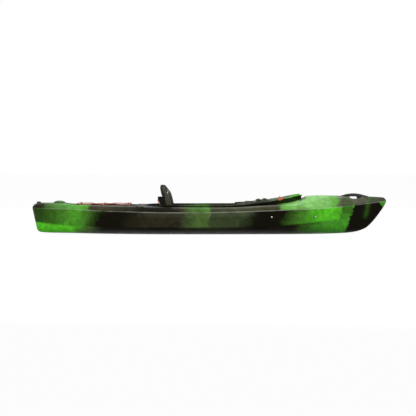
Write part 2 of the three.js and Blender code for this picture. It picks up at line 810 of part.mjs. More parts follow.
// An extrusion whose outline is given as [x, z] or [y, z] and that runs across or along the hull
const acrossHull = (points, width) => extruded(points, width).rotateX(Math.PI / 2).translate(0, width / 2, 0);
const alongHull = (points, length) => extruded(points, length)
  .rotateX(Math.PI / 2).rotateZ(Math.PI / 2).translate(-length / 2, 0, 0);

function box(length, width, height, x = 0, y = 0, z = 0) {
  return new THREE.BoxGeometry(length, width, height).translate(x, y, z);
}

function roundedOutline(length, width, corner) {
  const outline = [];
  for (let i = 0; i < roundSteps; i += 1) {
    const angle = (2 * Math.PI * (i + 0.5)) / roundSteps;
    const cx = Math.sign(Math.cos(angle)) * (length / 2 - corner);
    const cy = Math.sign(Math.sin(angle)) * (width / 2 - corner);
    outline.push([cx + corner * Math.cos(angle), cy + corner * Math.sin(angle)]);
  }
  return outline;
}

const joined = (...geometries) => geometries.map(solid).reduce((whole, next) => whole.add(next));
const hullOutside = hullBody(-seatGap, 0, 0);
const hullCavity = hullBody(wall + seatGap, sternMargin + seatGap, noseMargin + seatGap);

// Each foot brace lies along the line between its two screws, on the inside of the hull
const braceRearY = sideWidth(braceRear, braceZ, wall);
const braceFrontY = sideWidth(braceFront, braceZ, wall);
const braceSpan = Math.hypot(braceFront - braceRear, braceRearY - braceFrontY);
const braceToe = Math.atan2(braceRearY - braceFrontY, braceFront - braceRear);

function braceFrame(side) {
  const frame = new THREE.Group();
  frame.position.set((braceRear + braceFront) / 2, (side * (braceRearY + braceFrontY)) / 2, braceZ);
  frame.rotation.z = -side * braceToe;
  frame.updateMatrix();
  return frame;
}

// The rod holder's tube leans back and splays out from where it meets the deck
function rodMatrix(side) {
  const lean = THREE.MathUtils.degToRad(rodLean);
  const splay = THREE.MathUtils.degToRad(rodSplay);
  const turn = new THREE.Matrix4().makeRotationFromEuler(new THREE.Euler(-side * splay, -lean, 0));
  return turn.setPosition(rodX, side * rodY, deckZ(rodX, rodY));
}

function cylinder(radius, length, clearance = 0) {
  const steps = radius >= bushBore ? roundSteps * 2 : roundSteps;
  return new THREE.CylinderGeometry(radius + clearance, radius + clearance, length, steps).rotateX(Math.PI / 2);
}

const boltPlaces = [-1, 1].map((end) => handleX + end * (handleLength / 2 - boltInset));

// Holes through the hull for what is fastened to it
function fittingHoles() {
  const holes = boltPlaces.map((x) => cylinder(boltRadius, handleFoot * 2, seatGap).translate(x, 0, deckZ(x, 0)));
  holes.push(cylinder(bushRadius, bushDepth * 2, seatGap).translate(drainX, 0, deckZ(drainX, 0)));
  for (const side of [-1, 1]) {
    holes.push(cylinder(rodRadius, rodLength / 2, seatGap).applyMatrix4(rodMatrix(side)));
    for (const end of [-1, 1]) {
      const hole = cylinder(boltRadius, overrun * 2, seatGap).rotateX(Math.PI / 2);
      holes.push(hole.translate((end * braceSpan) / 2, 0, 0).applyMatrix4(braceFrame(side).matrix));
    }
  }
  return holes.map(solid);
}

const kayak = new THREE.Group();

function addPart(name, geometry, material, parent = kayak) {
  const mesh = new THREE.Mesh(outward(geometry), material);
  mesh.name = name;
  parent.add(mesh);
  return mesh;
}

const sides = [["starboard", -1], ["port", 1]];
const handed = (geometry, side) => (side > 0 ? mirrored(geometry) : geometry);

addPart("hull_shell", geometryOf(hullShell()), green);

// Bow handle: a low arch whose feet sit on the deck on each side of the dish
function bowHandle() {
  const reach = handleLength / 2;
  const top = handleArch;
  const outline = new THREE.Shape();
  outline.moveTo(-reach, -overrun);
  outline.lineTo(-reach, handleRise);
  outline.bezierCurveTo(-reach + handleFoot, handleRise, -reach + handleFoot / 2, top, -reach + 2 * handleFoot, top);
  outline.lineTo(reach - 2 * handleFoot, top);
  outline.bezierCurveTo(reach - handleFoot / 2, top, reach - handleFoot, handleRise, reach, handleRise);
  outline.lineTo(reach, -overrun);
  outline.lineTo(reach - handleLeg, -overrun);
  outline.lineTo(reach - handleLeg - handleRise, top - handleBar);
  outline.lineTo(handleLeg + handleRise - reach, top - handleBar);
  outline.lineTo(handleLeg - reach, -overrun);
  outline.closePath();
  const geometry = new THREE.ExtrudeGeometry(outline, {
    depth: handleWidth - 2 * handleRound, bevelEnabled: true, bevelSize: handleRound, bevelThickness: handleRound,
    bevelOffset: -handleRound, bevelSegments: 1, curveSegments: roundSteps / 2,
  });
  geometry.rotateX(Math.PI / 2).translate(handleX, handleWidth / 2 - handleRound, deckZ(handleX, 0));
  let handle = solid(geometry).subtract(hullOutside);
  for (const x of boltPlaces) {
    const seat = deckZ(x, 0) + boltSeat;
    handle = handle.subtract(solid(cylinder(boltRadius, overrun * 2, seatGap).translate(x, 0, seat)));
    handle = handle.subtract(solid(cylinder(boltHead, overrun, seatGap * 2).translate(x, 0, seat + overrun / 2)));
  }
  return handle;
}
addPart("bow_handle", geometryOf(bowHandle()), rubber);
boltPlaces.forEach((x, i) => {
  const bolt = lathe([
    [0, -boltLength], [boltRadius, -boltLength], [boltRadius, seatGap], [boltHead, seatGap],
    [boltHead, boltHeadHeight * filletShare], [boltHead * pullShare, boltHeadHeight], [0, boltHeadHeight],
  ], roundSteps);
  addPart(i ? "handle_bolt_front" : "handle_bolt_rear", bolt, steel).position.set(x, 0, deckZ(x, 0) + boltSeat);
});

// Drain: a threaded bush through the stern deck, a sealing ring and the plug that screws in
const drainZ = deckZ(drainX, 0) + seatGap;
const bushTop = drainZ + flangeHeight;
const bushFlange = cylinder(flangeRadius, flangeHeight + overrun)
  .translate(drainX, 0, bushTop - (flangeHeight + overrun) / 2);
const bushTube = cylinder(bushRadius, bushDepth).translate(drainX, 0, bushTop - bushDepth / 2);
const bushHole = cylinder(bushBore, bushDepth * 3).translate(drainX, 0, bushTop);
addPart("drain_bush", geometryOf(
  solid(bushFlange).subtract(hullOutside).add(solid(bushTube)).subtract(solid(bushHole)),
), black);
const gasket = lathe([
  [bushBore + seatGap, 0], [gasketRadius, 0], [gasketRadius, gasketHeight], [bushBore + seatGap, gasketHeight],
  [bushBore + seatGap, 0],
], roundSteps * 2);
addPart("drain_gasket", gasket, rubber).position.set(drainX, 0, bushTop + seatGap);

function drainPlug() {
  const shank = bushBore - seatGap;
  let knob = solid(lathe([
    [0, -plugLength], [shank - seatGap, -plugLength], [shank, seatGap - plugLength], [shank, 0], [knobRadius, 0],
    [knobRadius, knobHeight * knobCrownShare], [knobRadius * knobCrownShare, knobHeight], [0, knobHeight],
  ], roundSteps * 2));
  for (let i = 0; i < knobGrips; i += 1) {
    const angle = (2 * Math.PI * i) / knobGrips;
    const grip = new THREE.CylinderGeometry(knobGripRadius, knobGripRadius, knobHeight * 3, fewSteps).rotateX(Math.PI / 2);
    knob = knob.subtract(solid(grip.translate(knobRadius * Math.cos(angle), knobRadius * Math.sin(angle), 0)));
  }
  return knob;
}
addPart("drain_plug", geometryOf(drainPlug()), black).position.set(drainX, 0, bushTop + gasketHeight + 2 * seatGap);

// Deck loops: a bar over a small base with two screw heads, for the bungee to pass through
function deckLoop() {
  const half = loopHalfWidth + loopBar;
  const outline = new THREE.Shape();
  outline.moveTo(-half, 0);
  outline.lineTo(-half, loopHeight - loopBar);
  outline.quadraticCurveTo(-half, loopHeight + loopBar, 0, loopHeight + loopBar);
  outline.quadraticCurveTo(half, loopHeight + loopBar, half, loopHeight - loopBar);
  outline.lineTo(half, 0);
  outline.lineTo(loopHalfWidth, 0);
  outline.lineTo(loopHalfWidth, loopHeight - loopBar);
  outline.quadraticCurveTo(loopHalfWidth, loopHeight, 0, loopHeight);
  outline.quadraticCurveTo(-loopHalfWidth, loopHeight, -loopHalfWidth, loopHeight - loopBar);
  outline.lineTo(-loopHalfWidth, 0);
  outline.closePath();
  const arch = new THREE.ExtrudeGeometry(outline, { depth: loopThickness, bevelEnabled: false, curveSegments: fewSteps / 2 });
  arch.rotateX(Math.PI / 2).rotateZ(Math.PI / 2).translate(-loopThickness / 2, 0, 0);
  const reach = half + loopScrewRadius * 2;
  const base = new THREE.ExtrudeGeometry(
    new THREE.Shape(roundedOutline(loopBaseLength, reach * 2, loopBaseLength / 2 - seatGap)
      .map(([x, y]) => new THREE.Vector2(x, y))),
    { depth: loopBaseHeight, bevelEnabled: false },
  );
  const headTop = loopBaseHeight * 1.5;
  const head = lathe([[0, 0], [loopScrewRadius, 0], [loopScrewRadius, loopBaseHeight], [0, headTop]], fewSteps);
  const heads = [-1, 1].map((end) => head.clone().translate(0, end * (half + loopScrewRadius), loopBaseHeight / 2));
  return geometryOf(joined(arch, base, ...heads));
}

// A small frame on the deck at x, y, tipped to the slope across the hull and along it
function deckFrame(x, y) {
  const frame = new THREE.Group();
  const reach = loopHalfWidth + loopBar;
  const slopeY = (deckZ(x, y + reach) - deckZ(x, y - reach)) / (2 * reach);
  const slopeX = (deckZ(x + reach, y) - deckZ(x - reach, y)) / (2 * reach);
  const least = Math.max(0, (deckZ(x, y - reach) + deckZ(x, y + reach)) / 2 - deckZ(x, y));
  frame.rotation.set(Math.atan(slopeY), -Math.atan(slopeX), 0);
  frame.position.set(x, y, Math.max(deckZ(x, y), deckZ(x, y) + least) + seatGap);
  return frame;
}

const wellOut = (x) => mix(wellRearHalfWidth, wellHalfWidth, (x - wellRear) / (wellFront - wellRear)) + wellLoopOut;
const loopGeometry = deckLoop();
for (const [sideName, side] of sides) {
  wellLoopX.forEach((x, i) => {
    const frame = deckFrame(x, side * wellOut(x));
    kayak.add(frame);
    addPart(`well_loop_${sideName}_${i + 1}`, loopGeometry, black, frame);
  });
}

// A round tube through chosen points, each ring square to the path
function sweep(points, radius, sideCount) {
  const path = points.map((point) => new THREE.Vector3(...point));
  const tangents = path.map((point, i) => {
    const before = path[Math.max(i - 1, 0)];
    const after = path[Math.min(i + 1, path.length - 1)];
    return point.clone().sub(before).normalize().add(after.clone().sub(point).normalize()).normalize();
  });
  let across = new THREE.Vector3(0, 0, 1);
  const rings = path.map((point, i) => {
    const sideways = new THREE.Vector3().crossVectors(tangents[i], across).normalize();
    across = new THREE.Vector3().crossVectors(sideways, tangents[i]).normalize();
    const ring = [];
    for (let k = 0; k < sideCount; k += 1) {
      const angle = (2 * Math.PI * k) / sideCount;
      ring.push(point.clone().addScaledVector(sideways, radius * Math.cos(angle))
        .addScaledVector(across, radius * Math.sin(angle)));
    }
    return ring;
  });
  return loft(rings);
}

// The bungee laces the six loops: from a knot at the front it crosses to the other side and back,
// runs over at the rear, and returns above itself to a knot on the other side
const bungeeRise = loopBaseHeight + bungeeRadius + 3 * seatGap;
function bungeePoint(x, side, inward, lift = 0) {
  return [x, side * (wellOut(x) - inward), deckZ(x, wellOut(x)) + bungeeRise + lift];
}

function bungeeRun(side, lift) {
  const [rear, middle, front] = wellLoopX;
  const cross = (a, b) => [-1, 0, 1].map((place) => {
    const x = mix(a, b, 0.5 + place * bungeeCrossShare);
    const y = side * wellHalfWidth * place * bungeeCrossShare * 2;
    return { x, y, z: deckZ(x, wellHalfWidth) + bungeeRise + (place ? lift * seatDishShare : lift) };
  });
  const [a1, a2, a3] = cross(front, middle);
  const [b1, b2, b3] = cross(middle, rear);
  return [
    bungeePoint(front + bungeeEnd, side, 0),
    bungeePoint(front, side, 0),
    bungeePoint(front - bungeeTurn, side, bungeeTurnIn),
    [a1.x, -a1.y, a1.z], [a2.x, 0, a2.z], [a3.x, -a3.y, a3.z],
    ...bungeeTurnShares.map(([along, inward]) => bungeePoint(
      middle + along * bungeeTurn, -side, inward * bungeeTurnIn,
    )),
    [b1.x, b1.y, b1.z], [b2.x, 0, b2.z], [b3.x, b3.y, b3.z],
    ...bungeeEndShares.map(([along, inward]) => bungeePoint(
      rear + along * bungeeTurn, side, inward * bungeeTurnIn,
    )),
  ];
}

function wellBungee() {
  const points = [...bungeeRun(-1, 0), ...bungeeRun(1, bungeeCross).reverse()];
  const knots = [points[0], points[points.length - 1]].map(([x, y, z]) => new THREE.SphereGeometry(knotRadius, cordSteps, fewSteps)
    .translate(x + knotRadius * pullShare, y, z + knotRadius - bungeeRise + loopBaseHeight * stepShare));
  return joined(sweep(points, bungeeRadius, cordSteps), ...knots);
}
addPart("tankwell_bungee", geometryOf(wellBungee()), orange);

// The dash bungee lies across the dash and is hooked over the cockpit rim on both sides
const rimHalfWidth = (x) => {
  const above = rimPlan.filter(([, y]) => y >= 0).sort((a, b) => a[0] - b[0]);
  const i = Math.max(above.findIndex(([px]) => px > x), 1);
  return mix(above[i - 1][1], above[i][1], (x - above[i - 1][0]) / (above[i][0] - above[i - 1][0]));
};
const rimTurn = (x) => Math.atan2(rimHalfWidth(x + overrun) - rimHalfWidth(x - overrun), 2 * overrun);
const lipSpace = prism(trimmed(rimPlan, lipWidth + seatGap), 0, rimReach).intersect(slab(
  cockpitRear - overrun, cockpitFront + overrun, cockpitHalfWidth + 2 * overrun,
  (x) => rimZ(x) - lipThickness - lipDrop - seatGap, (x) => rimZ(x) + seatGap,
));
function bungeeHook(side) {
  const top = hookThickness;
  const low = -lipThickness - lipDrop - hookUnder / 2;
  const out = lipWidth + hookThickness;
  const profile = [
    [-wall * filletShare, 0], [-wall * filletShare, top], [out - top / 2, top], [out, top / 2], [out, low],
    [out - hookUnder - top / 2, low], [out - hookUnder - top / 2, low / 2], [lipWidth, low / 2], [lipWidth, 0],
  ];
  const geometry = alongHull(profile, hookLength);
  geometry.rotateZ(rimTurn(hookX)).translate(hookX, rimHalfWidth(hookX), rimZ(hookX));
  const hook = geometryOf(solid(geometry).subtract(lipSpace));
  return side > 0 ? hook : mirrored(hook);
}
function dashBungee() {
  const edge = rimHalfWidth(hookX);
  const base = rimZ(hookX) + bungeeRadius + 3 * seatGap;
  const high = base + dashRise;
  const half = [
    [edge - wall * filletShare - bungeeRadius * pullShare, base], [edge - wall - seatGap, base],
    [edge - dashEdge / 2 - bungeeRadius * filletShare, base + dashRise / 5],
    [edge - dashEdge + bungeeRadius / 2, high + bungeeRadius / 2], [edge - dashEdge - 3 * bungeeRadius, high],
  ];
  const points = [...half.map(([y, z]) => [hookX, -y, z]), ...half.reverse().map(([y, z]) => [hookX, y, z])];
  return sweep(points, bungeeRadius, cordSteps);
}
addPart("dash_bungee", dashBungee(), orange);
for (const [sideName, side] of sides) addPart(`bungee_hook_${sideName}`, bungeeHook(side), orange);

// Rod holders: a flange on the deck and a tube closed at its foot
function rodHolder(side) {
  const matrix = rodMatrix(side);
  const flange = cylinder(rodFlangeRadius, rodFlangeHeight * 4)
    .translate(rodX, side * rodY, deckZ(rodX, rodY) - rodFlangeHeight);
  const seated = solid(flange).subtract(hullOutside);
  const tube = lathe([
    [0, -rodLength], [rodRadius, -rodLength], [rodRadius, rodFlangeHeight / 2], [0, rodFlangeHeight / 2],
  ], roundSteps * 2);
  const bore = lathe([
    [0, rodWall - rodLength], [rodRadius - rodWall, rodWall - rodLength], [rodRadius - rodWall, rodRadius * 2],
    [0, rodRadius * 2],
  ], roundSteps * 2);
  return seated.add(solid(tube.applyMatrix4(matrix))).subtract(solid(bore.applyMatrix4(matrix)));
}
for (const [sideName, side] of sides) addPart(`rod_holder_${sideName}`, geometryOf(rodHolder(side)), black);

// Accessory plate on the dash, with its four screws
const plateFrame = new THREE.Group();
plateFrame.position.set(plateX, plateY, rimZ(plateX) + dashRise + plateBoss + seatGap);
kayak.add(plateFrame);
const plateHoles = [-1, 1].flatMap((i) => [-1, 1].map((j) => [
  i * (plateLength / 2 - plateScrewInset), j * (plateWidth / 2 - plateScrewInset),
]));
let plate = solid(extruded(roundedOutline(plateLength, plateWidth, plateCorner), plateHeight));
const headSeat = plateHeight - plateScrewHeight - 2 * seatGap;
for (const [x, y] of plateHoles) {
  plate = plate.subtract(solid(cylinder(plateScrewRadius / 2, overrun, seatGap).translate(x, y, 0)));
  plate = plate.subtract(solid(cylinder(plateScrewRadius, overrun, seatGap).translate(x, y, headSeat + overrun / 2)));
}
addPart("accessory_plate", geometryOf(plate), black, plateFrame);
const plateScrew = lathe([
  [0, seatGap * 2], [plateScrewRadius / 2, seatGap * 2], [plateScrewRadius / 2, headSeat + seatGap],
  [plateScrewRadius, headSeat + seatGap], [plateScrewRadius * pullShare, headSeat + plateScrewHeight],
  [0, headSeat + plateScrewHeight],
], roundSteps);
plateHoles.forEach(([x, y], i) => addPart(`plate_screw_${i + 1}`, plateScrew, steel, plateFrame).position.set(x, y, 0));

// Foot braces: a rail with a rack, a pedal that slides in it and a lever that locks the pedal
function braceRail(side) {
  const half = railHeight / 2;
  const out = railSpace + railDepth;
  const inside = railSpace + railWall;
  const slot = railSlot / 2;
  const profile = [
    [railSpace, -half], [out, -half], [out, -slot], [out - railWall, -slot], [out - railWall, railWall - half],
    [inside, railWall - half], [inside, half - railWall], [out - railWall, half - railWall], [out - railWall, slot],
    [out, slot], [out, half], [railSpace, half],
  ];
  let rail = solid(alongHull(profile, braceSpan + 2 * railEnd));
  for (const end of [-1, 1]) {
    const place = (end * braceSpan) / 2;
    const boss = cylinder(bossRadius, railSpace * 2 + seatGap).rotateX(Math.PI / 2);
    rail = rail.add(solid(boss.translate(place, seatGap, 0)));
    const hole = cylinder(boltRadius, overrun * 4, seatGap).rotateX(Math.PI / 2);
    rail = rail.subtract(solid(hole.translate(place, 0, 0)));
  }
  const notches = Math.floor((braceSpan - 2 * railEnd) / rackPitch);
  for (let i = 0; i <= notches; i += 1) {
    const place = (i - notches / 2) * rackPitch;
    rail = rail.subtract(solid(box(rackNotch, railDepth, 2 * rackDepth, place, out, -half)));
  }
  const matrix = braceFrame(side).matrix;
  const placed = handed(geometryOf(rail), side).applyMatrix4(matrix);
  return geometryOf(solid(placed).intersect(hullCavity)).applyMatrix4(matrix.clone().invert());
}

function footPedal() {
  const sled = box(sledLength, railDepth - 2 * railWall - 2 * seatGap, railHeight - 2 * railWall - 2 * seatGap,
    0, railSpace + railDepth / 2, 0);
  const out = railSpace + railDepth;
  const neck = box(sledLength * seatDishShare, out - railSpace, railSlot - 4 * seatGap, 0, out, 0);
  const near = out + railWall;
  const plateCentre = [near + pedalWidth / 2, pedalRise];
  const face = alongHull(roundedOutline(pedalWidth, pedalHeight, pedalCorner)
    .map(([y, z]) => [y + plateCentre[0], z + plateCentre[1]]), pedalThickness);
  const ribs = [-1, 0, 1].map((place) => box(
    pedalRib, pedalWidth - pedalCorner, pedalThickness, -pedalRib / 2 + seatGap,
    plateCentre[0], plateCentre[1] + place * pedalHeight * filletShare,
  ));
  const cheeks = [-1, 1].map((place) => alongHull([
    [near - railWall, 0], [leverPivotY + cheek * 2, 0], [leverPivotY + cheek * 2, leverPivotZ - cheek],
    [leverPivotY - cheek * 1.5, leverPivotZ - cheek], [near - railWall + seatGap * 2, -railSlot / 2 + seatGap * 2],
  ], cheek).translate(place * (leverWidth / 2 + cheek / 2 + seatGap) - leverSetback, 0, 0));
  const pin = cylinder(leverPin, leverWidth + 2 * cheek).rotateY(Math.PI / 2)
    .translate(-leverSetback, leverPivotY, leverPivotZ);
  return geometryOf(joined(sled, neck, face.translate(sledLength * filletShare, 0, 0),
    ...ribs.map((rib) => rib.translate(sledLength * filletShare - pedalThickness / 2, 0, 0)), ...cheeks, pin));
}

function lockLever() {
  const toothY = railSpace + railDepth / 2 - leverPivotY;
  const toothZ = -railHeight / 2 - leverTooth - leverPivotZ;
  const hub = leverPin + seatGap + leverThickness / 2;
  const outline = [
    [toothY - leverThickness / 2, toothZ - leverThickness * 2], [toothY - leverThickness / 2, toothZ],
    [toothY + leverThickness / 2, toothZ], [toothY + leverThickness, toothZ - leverThickness],
    [0, hub], [hub, 0], [leverReach, -leverDrop], [leverReach - leverThickness, -leverDrop - leverThickness],
    [0, -hub], [-hub, -hub * pullShare],
  ];
  const bore = cylinder(leverPin, leverWidth * 2, seatGap).rotateY(Math.PI / 2);
  return geometryOf(solid(alongHull(outline, leverWidth)).subtract(solid(bore)));
}

const pedalGeometry = footPedal();
const leverGeometry = lockLever();
for (const [sideName, side] of sides) {
  const frame = braceFrame(side);
  kayak.add(frame);
  addPart(`foot_rail_${sideName}`, braceRail(side), black, frame);
  addPart(`foot_pedal_${sideName}`, handed(pedalGeometry, side), black, frame);
  const lever = addPart(`pedal_lever_${sideName}`, handed(leverGeometry, side), orange, frame);
  lever.position.set(-leverSetback, -side * leverPivotY, leverPivotZ);
}

// Foot brace screws: a washer that follows the hull, a domed head and a shank into the rail
function braceScrew(side, end) {
  const matrix = braceFrame(side).matrix;
  const place = (end * braceSpan) / 2;
  const x = place > 0 ? braceFront : braceRear;
  const outside = sideWidth(x, braceZ, 0) - sideWidth(x, braceZ, wall);
  const shape = lathe([
    [0, -screwReach], [boltRadius, -screwReach], [boltRadius, 0], [screwWasher, 0], [screwWasher, outside + screwLand],
    [boltHead, outside + screwLand], [boltHead, outside + screwLand + boltHeadHeight * filletShare],
    [boltHead * pullShare, outside + screwLand + boltHeadHeight], [0, outside + screwLand + boltHeadHeight],
  ], roundSteps);
  shape.rotateX(side < 0 ? Math.PI / 2 : -Math.PI / 2).translate(place, 0, 0).applyMatrix4(matrix);
  const shank = cylinder(boltRadius, screwReach * 2).rotateX(Math.PI / 2).translate(place, 0, 0).applyMatrix4(matrix);
  return solid(shape).subtract(hullOutside).add(solid(shape).intersect(solid(shank)));
}
for (const [sideName, side] of sides) {
  [-1, 1].forEach((end, i) => {
    const name = `brace_screw_${i ? "front" : "rear"}_${sideName}`;
    addPart(name, geometryOf(braceScrew(side, end)), steel);
  });
}

// Seat pan: a dished tray open beneath, resting on the flat of the floor, with two ears for the backrest
function seatTopAt(x) {
  const along = (x - seatRear) / (seatFront - seatRear);
  return seatTop + seatLip * (Math.max(0, along - seatLiftShare) / (1 - seatLiftShare)) ** 2;
}

function seatRing(x, shrink) {
  const along = (x - seatRear) / (seatFront - seatRear);
  const width = mix(seatRearHalfWidth, seatHalfWidth, Math.min(along * 2, 1)) - shrink;
  const top = seatTopAt(x) - shrink;
  const side = seatSide - shrink;
  const flat = halfBeam * flatAt(0) * seatFlatShare;
  const low = shrink ? -overrun : 0;
  const foot = (y) => floorZ(x, y) + seatGap + low;
  return [
    [-width, foot(width)], [-flat, foot(flat)], [flat, foot(flat)], [width, foot(width)], [width, side],
    [width * seatDishShare, top], [0, top - seatDish], [-width * seatDishShare, top], [-width, side],
  ].map(([y, z]) => new THREE.Vector3(x, y, z));
}
function seatPan() {
  const rings = (shrink) => seatPlaceShares
    .map((share) => seatRing(mix(seatRear + shrink, seatFront - shrink, share), shrink));
  const ears = [-1, 1].map((side) => {
    const y = side * (pivotY + earThickness / 2 + seatGap + earThickness / 2);
    const eye = cylinder(earRadius, earThickness).rotateX(Math.PI / 2).translate(pivotX, y, pivotZ);
    const stem = box(earRadius * 2, earThickness, pivotZ - seatTop, pivotX, y, (pivotZ + seatTop) / 2);
    return joined(eye, stem);
  });
  let pan = solid(loft(rings(0))).subtract(solid(loft(rings(seatWall))));
  for (const ear of ears) pan = pan.add(ear);
  const pinHole = cylinder(pivotBolt, 4 * pivotY, seatGap).rotateX(Math.PI / 2).translate(pivotX, 0, pivotZ);
  return pan.subtract(solid(pinHole));
}
addPart("seat_pan", geometryOf(seatPan()), black);

// A padded form over a rectangle of shares u, v: crowned, drawn in at its edges, with sewn channels
function padRise(u, v, thickness, channels) {
  const edge = Math.max(0, (1 - Math.abs(u) ** padSidePower) * (1 - Math.abs(2 * v - 1) ** padEndPower));
  const groove = 1 - channelShare * Math.abs(Math.cos((Math.PI * channels * (u + 1)) / 2)) ** channelPower;
  return thickness * (padEdgeShare + (1 - padEdgeShare) * edge ** padCrownPower * groove);
}

function padded(place, columns, rows, thickness, channels) {
  const rings = [];
  for (let j = 0; j <= rows; j += 1) {
    const v = j / rows;
    const front = [];
    const back = [];
    for (let i = 0; i <= columns; i += 1) {
      const u = (2 * i) / columns - 1;
      front.push(place(u, v, padRise(u, v, thickness, channels)));
      back.push(place(u, v, 0));
    }
    rings.push([...front, ...back.reverse()]);
  }
  return loft(rings);
}

function seatCushion() {
  const place = (u, v, up) => {
    const x = mix(cushionRear, cushionFront, v);
    const end = Math.abs(2 * v - 1);
    const width = cushionHalfWidth * (1 - cushionRoundShare * end ** cushionPower) * (1 - drawShare * (1 - end ** 2));
    return new THREE.Vector3(x, u * width, seatTopAt(x) + cushionGap + up);
  };
  return geometryOf(solid(padded(place, cushionColumns, cushionRows, cushionHeight, cushionChannels)));
}
addPart("seat_cushion", seatCushion(), fabric);

// Backrest: a moulded shell that leans back and wraps forward at its sides
const backWidthAt = smoothTable(backWidthShares);
const backWrapAt = smoothTable(backWrapShares);
function backPoint(u, v, forward) {
  const lean = backLean * v ** leanPower;
  const reach = backWrap * backWrapAt(v);
  const wrap = reach * Math.abs(u) ** wrapPower;
  const turn = Math.atan2(wrapPower * reach * Math.abs(u) ** (wrapPower - 1), backHalfWidth * backWidthAt(v));
  return new THREE.Vector3(
    pivotX - backSetback - lean + wrap + forward * Math.cos(turn),
    backHalfWidth * backWidthAt(v) * u - Math.sign(u) * forward * Math.sin(turn),
    pivotZ + backStart + backHeight * v,
  );
}
function backShell(margin) {
  const rings = [];
  for (let j = 0; j <= backRows; j += 1) {
    const front = [];
    const back = [];
    for (let i = 0; i <= backColumns; i += 1) {
      const u = (2 * i) / backColumns - 1;
      front.push(backPoint(u, j / backRows, backWall + margin));
      back.push(backPoint(u, j / backRows, -margin));
    }
    rings.push([...front, ...back.reverse()]);
  }
  return solid(loft(rings));
}
const backSpace = backShell(padGap);

function backFrame() {
  let frame = backShell(0);
  for (const side of [-1, 1]) {
    const y = side * (pivotY - seatGap);
    const eye = cylinder(earRadius, earThickness).rotateX(Math.PI / 2).translate(pivotX, y, pivotZ);
    const arm = acrossHull([
      [pivotX + earRadius, pivotZ], [pivotX - earRadius, pivotZ], [pivotX - backSetback - armReach, pivotZ + armHeight],
      [pivotX - backSetback - armReach + earRadius, pivotZ + armHeight],
    ], earThickness).translate(0, y, 0);
    frame = frame.add(solid(eye)).add(solid(arm));
  }
  const pinHole = cylinder(pivotBolt, 4 * pivotY, seatGap).rotateX(Math.PI / 2).translate(pivotX, 0, pivotZ);
  const slot = extruded(roundedOutline(slotWidth, slotLength, slotWidth / 2 - seatGap), 4 * backHalfWidth);
  slot.rotateX(Math.PI / 2).rotateY(-slotTilt).translate(slotX, 2 * backHalfWidth, slotZ);
  return frame.subtract(solid(pinHole)).subtract(solid(slot));
}
addPart("backrest_frame", geometryOf(backFrame()), black);

// The pad in front of the shell and the pouch behind it follow the shell's form
function backCushion(side, [widthShare, lowShare, highShare], thickness, [channels, columns, rows]) {
  const base = side > 0 ? backWall : 0;
  const place = (u, v, up) => backPoint(u * widthShare, mix(lowShare, highShare, v), base + side * (up - padGap));
  return geometryOf(solid(padded(place, columns, rows, thickness, channels)).subtract(backSpace));
}
const padSpan = [padWidthShare, padLowShare, padHighShare];
const pouchSpan = [pouchWidthShare, pouchLowShare, pouchHighShare];
const pad = backCushion(1, padSpan, padThickness, [padChannels, padColumns, padRows]);
const pouch = backCushion(-1, pouchSpan, pouchDepth, [1, pouchColumns, pouchRows]);
addPart("backrest_pad", pad, fabric);
addPart("rear_pouch", pouch, fabric);

// A pull tab that hangs down the back of the pouch, from a row of it below its top edge
function pouchPull() {
  const rings = [0, 1, 2].map((row) => {
    const v = 1 - (row + pullRow) / pouchRows;
    const rise = padRise(0, v, pouchDepth, 1) - padGap + 2 * seatGap;
    const height = mix(pouchLowShare, pouchHighShare, v);
    return [[-1, 0], [1, 0], [1, pullThickness], [-1, pullThickness]].map(([across, up]) => {
      const point = backPoint(0, height, -rise - up);
      return point.setY((across * pullWidth) / 2);
    });
  });
  return loft(rings);
}
addPart("pouch_pull", pouchPull(), orange);
sides.forEach(([sideName, side]) => {
  const reach = earThickness * 2 + seatGap;
  const bolt = lathe([
    [0, 0], [pivotBolt, 0], [pivotBolt, reach + seatGap], [pivotBolt + boltRadius, reach + seatGap],
    [pivotBolt + boltRadius, reach + boltHeadHeight], [0, reach + boltHeadHeight],
  ]);
  const place = side * (pivotY - seatGap - earThickness / 2);
  addPart(`backrest_bolt_${sideName}`, bolt.rotateX(-side * Math.PI / 2), steel).position.set(pivotX, place, pivotZ);
});

// Adjusting straps run from the wings of the backrest to anchors inside the cockpit rim
const rimInside = rimHalfWidth(anchorX) - wall - seatGap;
const strapStart = backPoint(strapShares[0], strapShares[1], backWall + seatGap);
sides.forEach(([sideName, side]) => {
  const z = rimZ(anchorX) - lipThickness - anchorHeight / 2;
  const anchor = box(anchorLength, anchorDepth, anchorHeight, 0, 0, 0);
  addPart(`strap_anchor_${sideName}`, anchor, black).position.set(anchorX, side * (rimInside - anchorDepth / 2), z);
  const end = [anchorX - anchorLength / 2 - seatGap, rimInside - anchorDepth / 2, z];
  const start = [strapStart.x + strapThickness, strapStart.y - strapThickness, strapStart.z];
  const ring = ([x, y, zc]) => [
    [-strapThickness / 2, -anchorHeight / 2], [strapThickness / 2, -anchorHeight / 2],
    [strapThickness / 2, anchorHeight / 2], [-strapThickness / 2, anchorHeight / 2],
  ].map(([dy, dz]) => new THREE.Vector3(x, side * (y + dy), zc + dz));
  const rings = strapPlaceShares.map((t) => ring([
    mix(start[0], end[0], t), mix(start[1], end[1], t), mix(start[2], end[2], t) - 4 * strapSag * t * (1 - t),
  ]));
  addPart(`backrest_strap_${sideName}`, loft(rings), fabric);
});

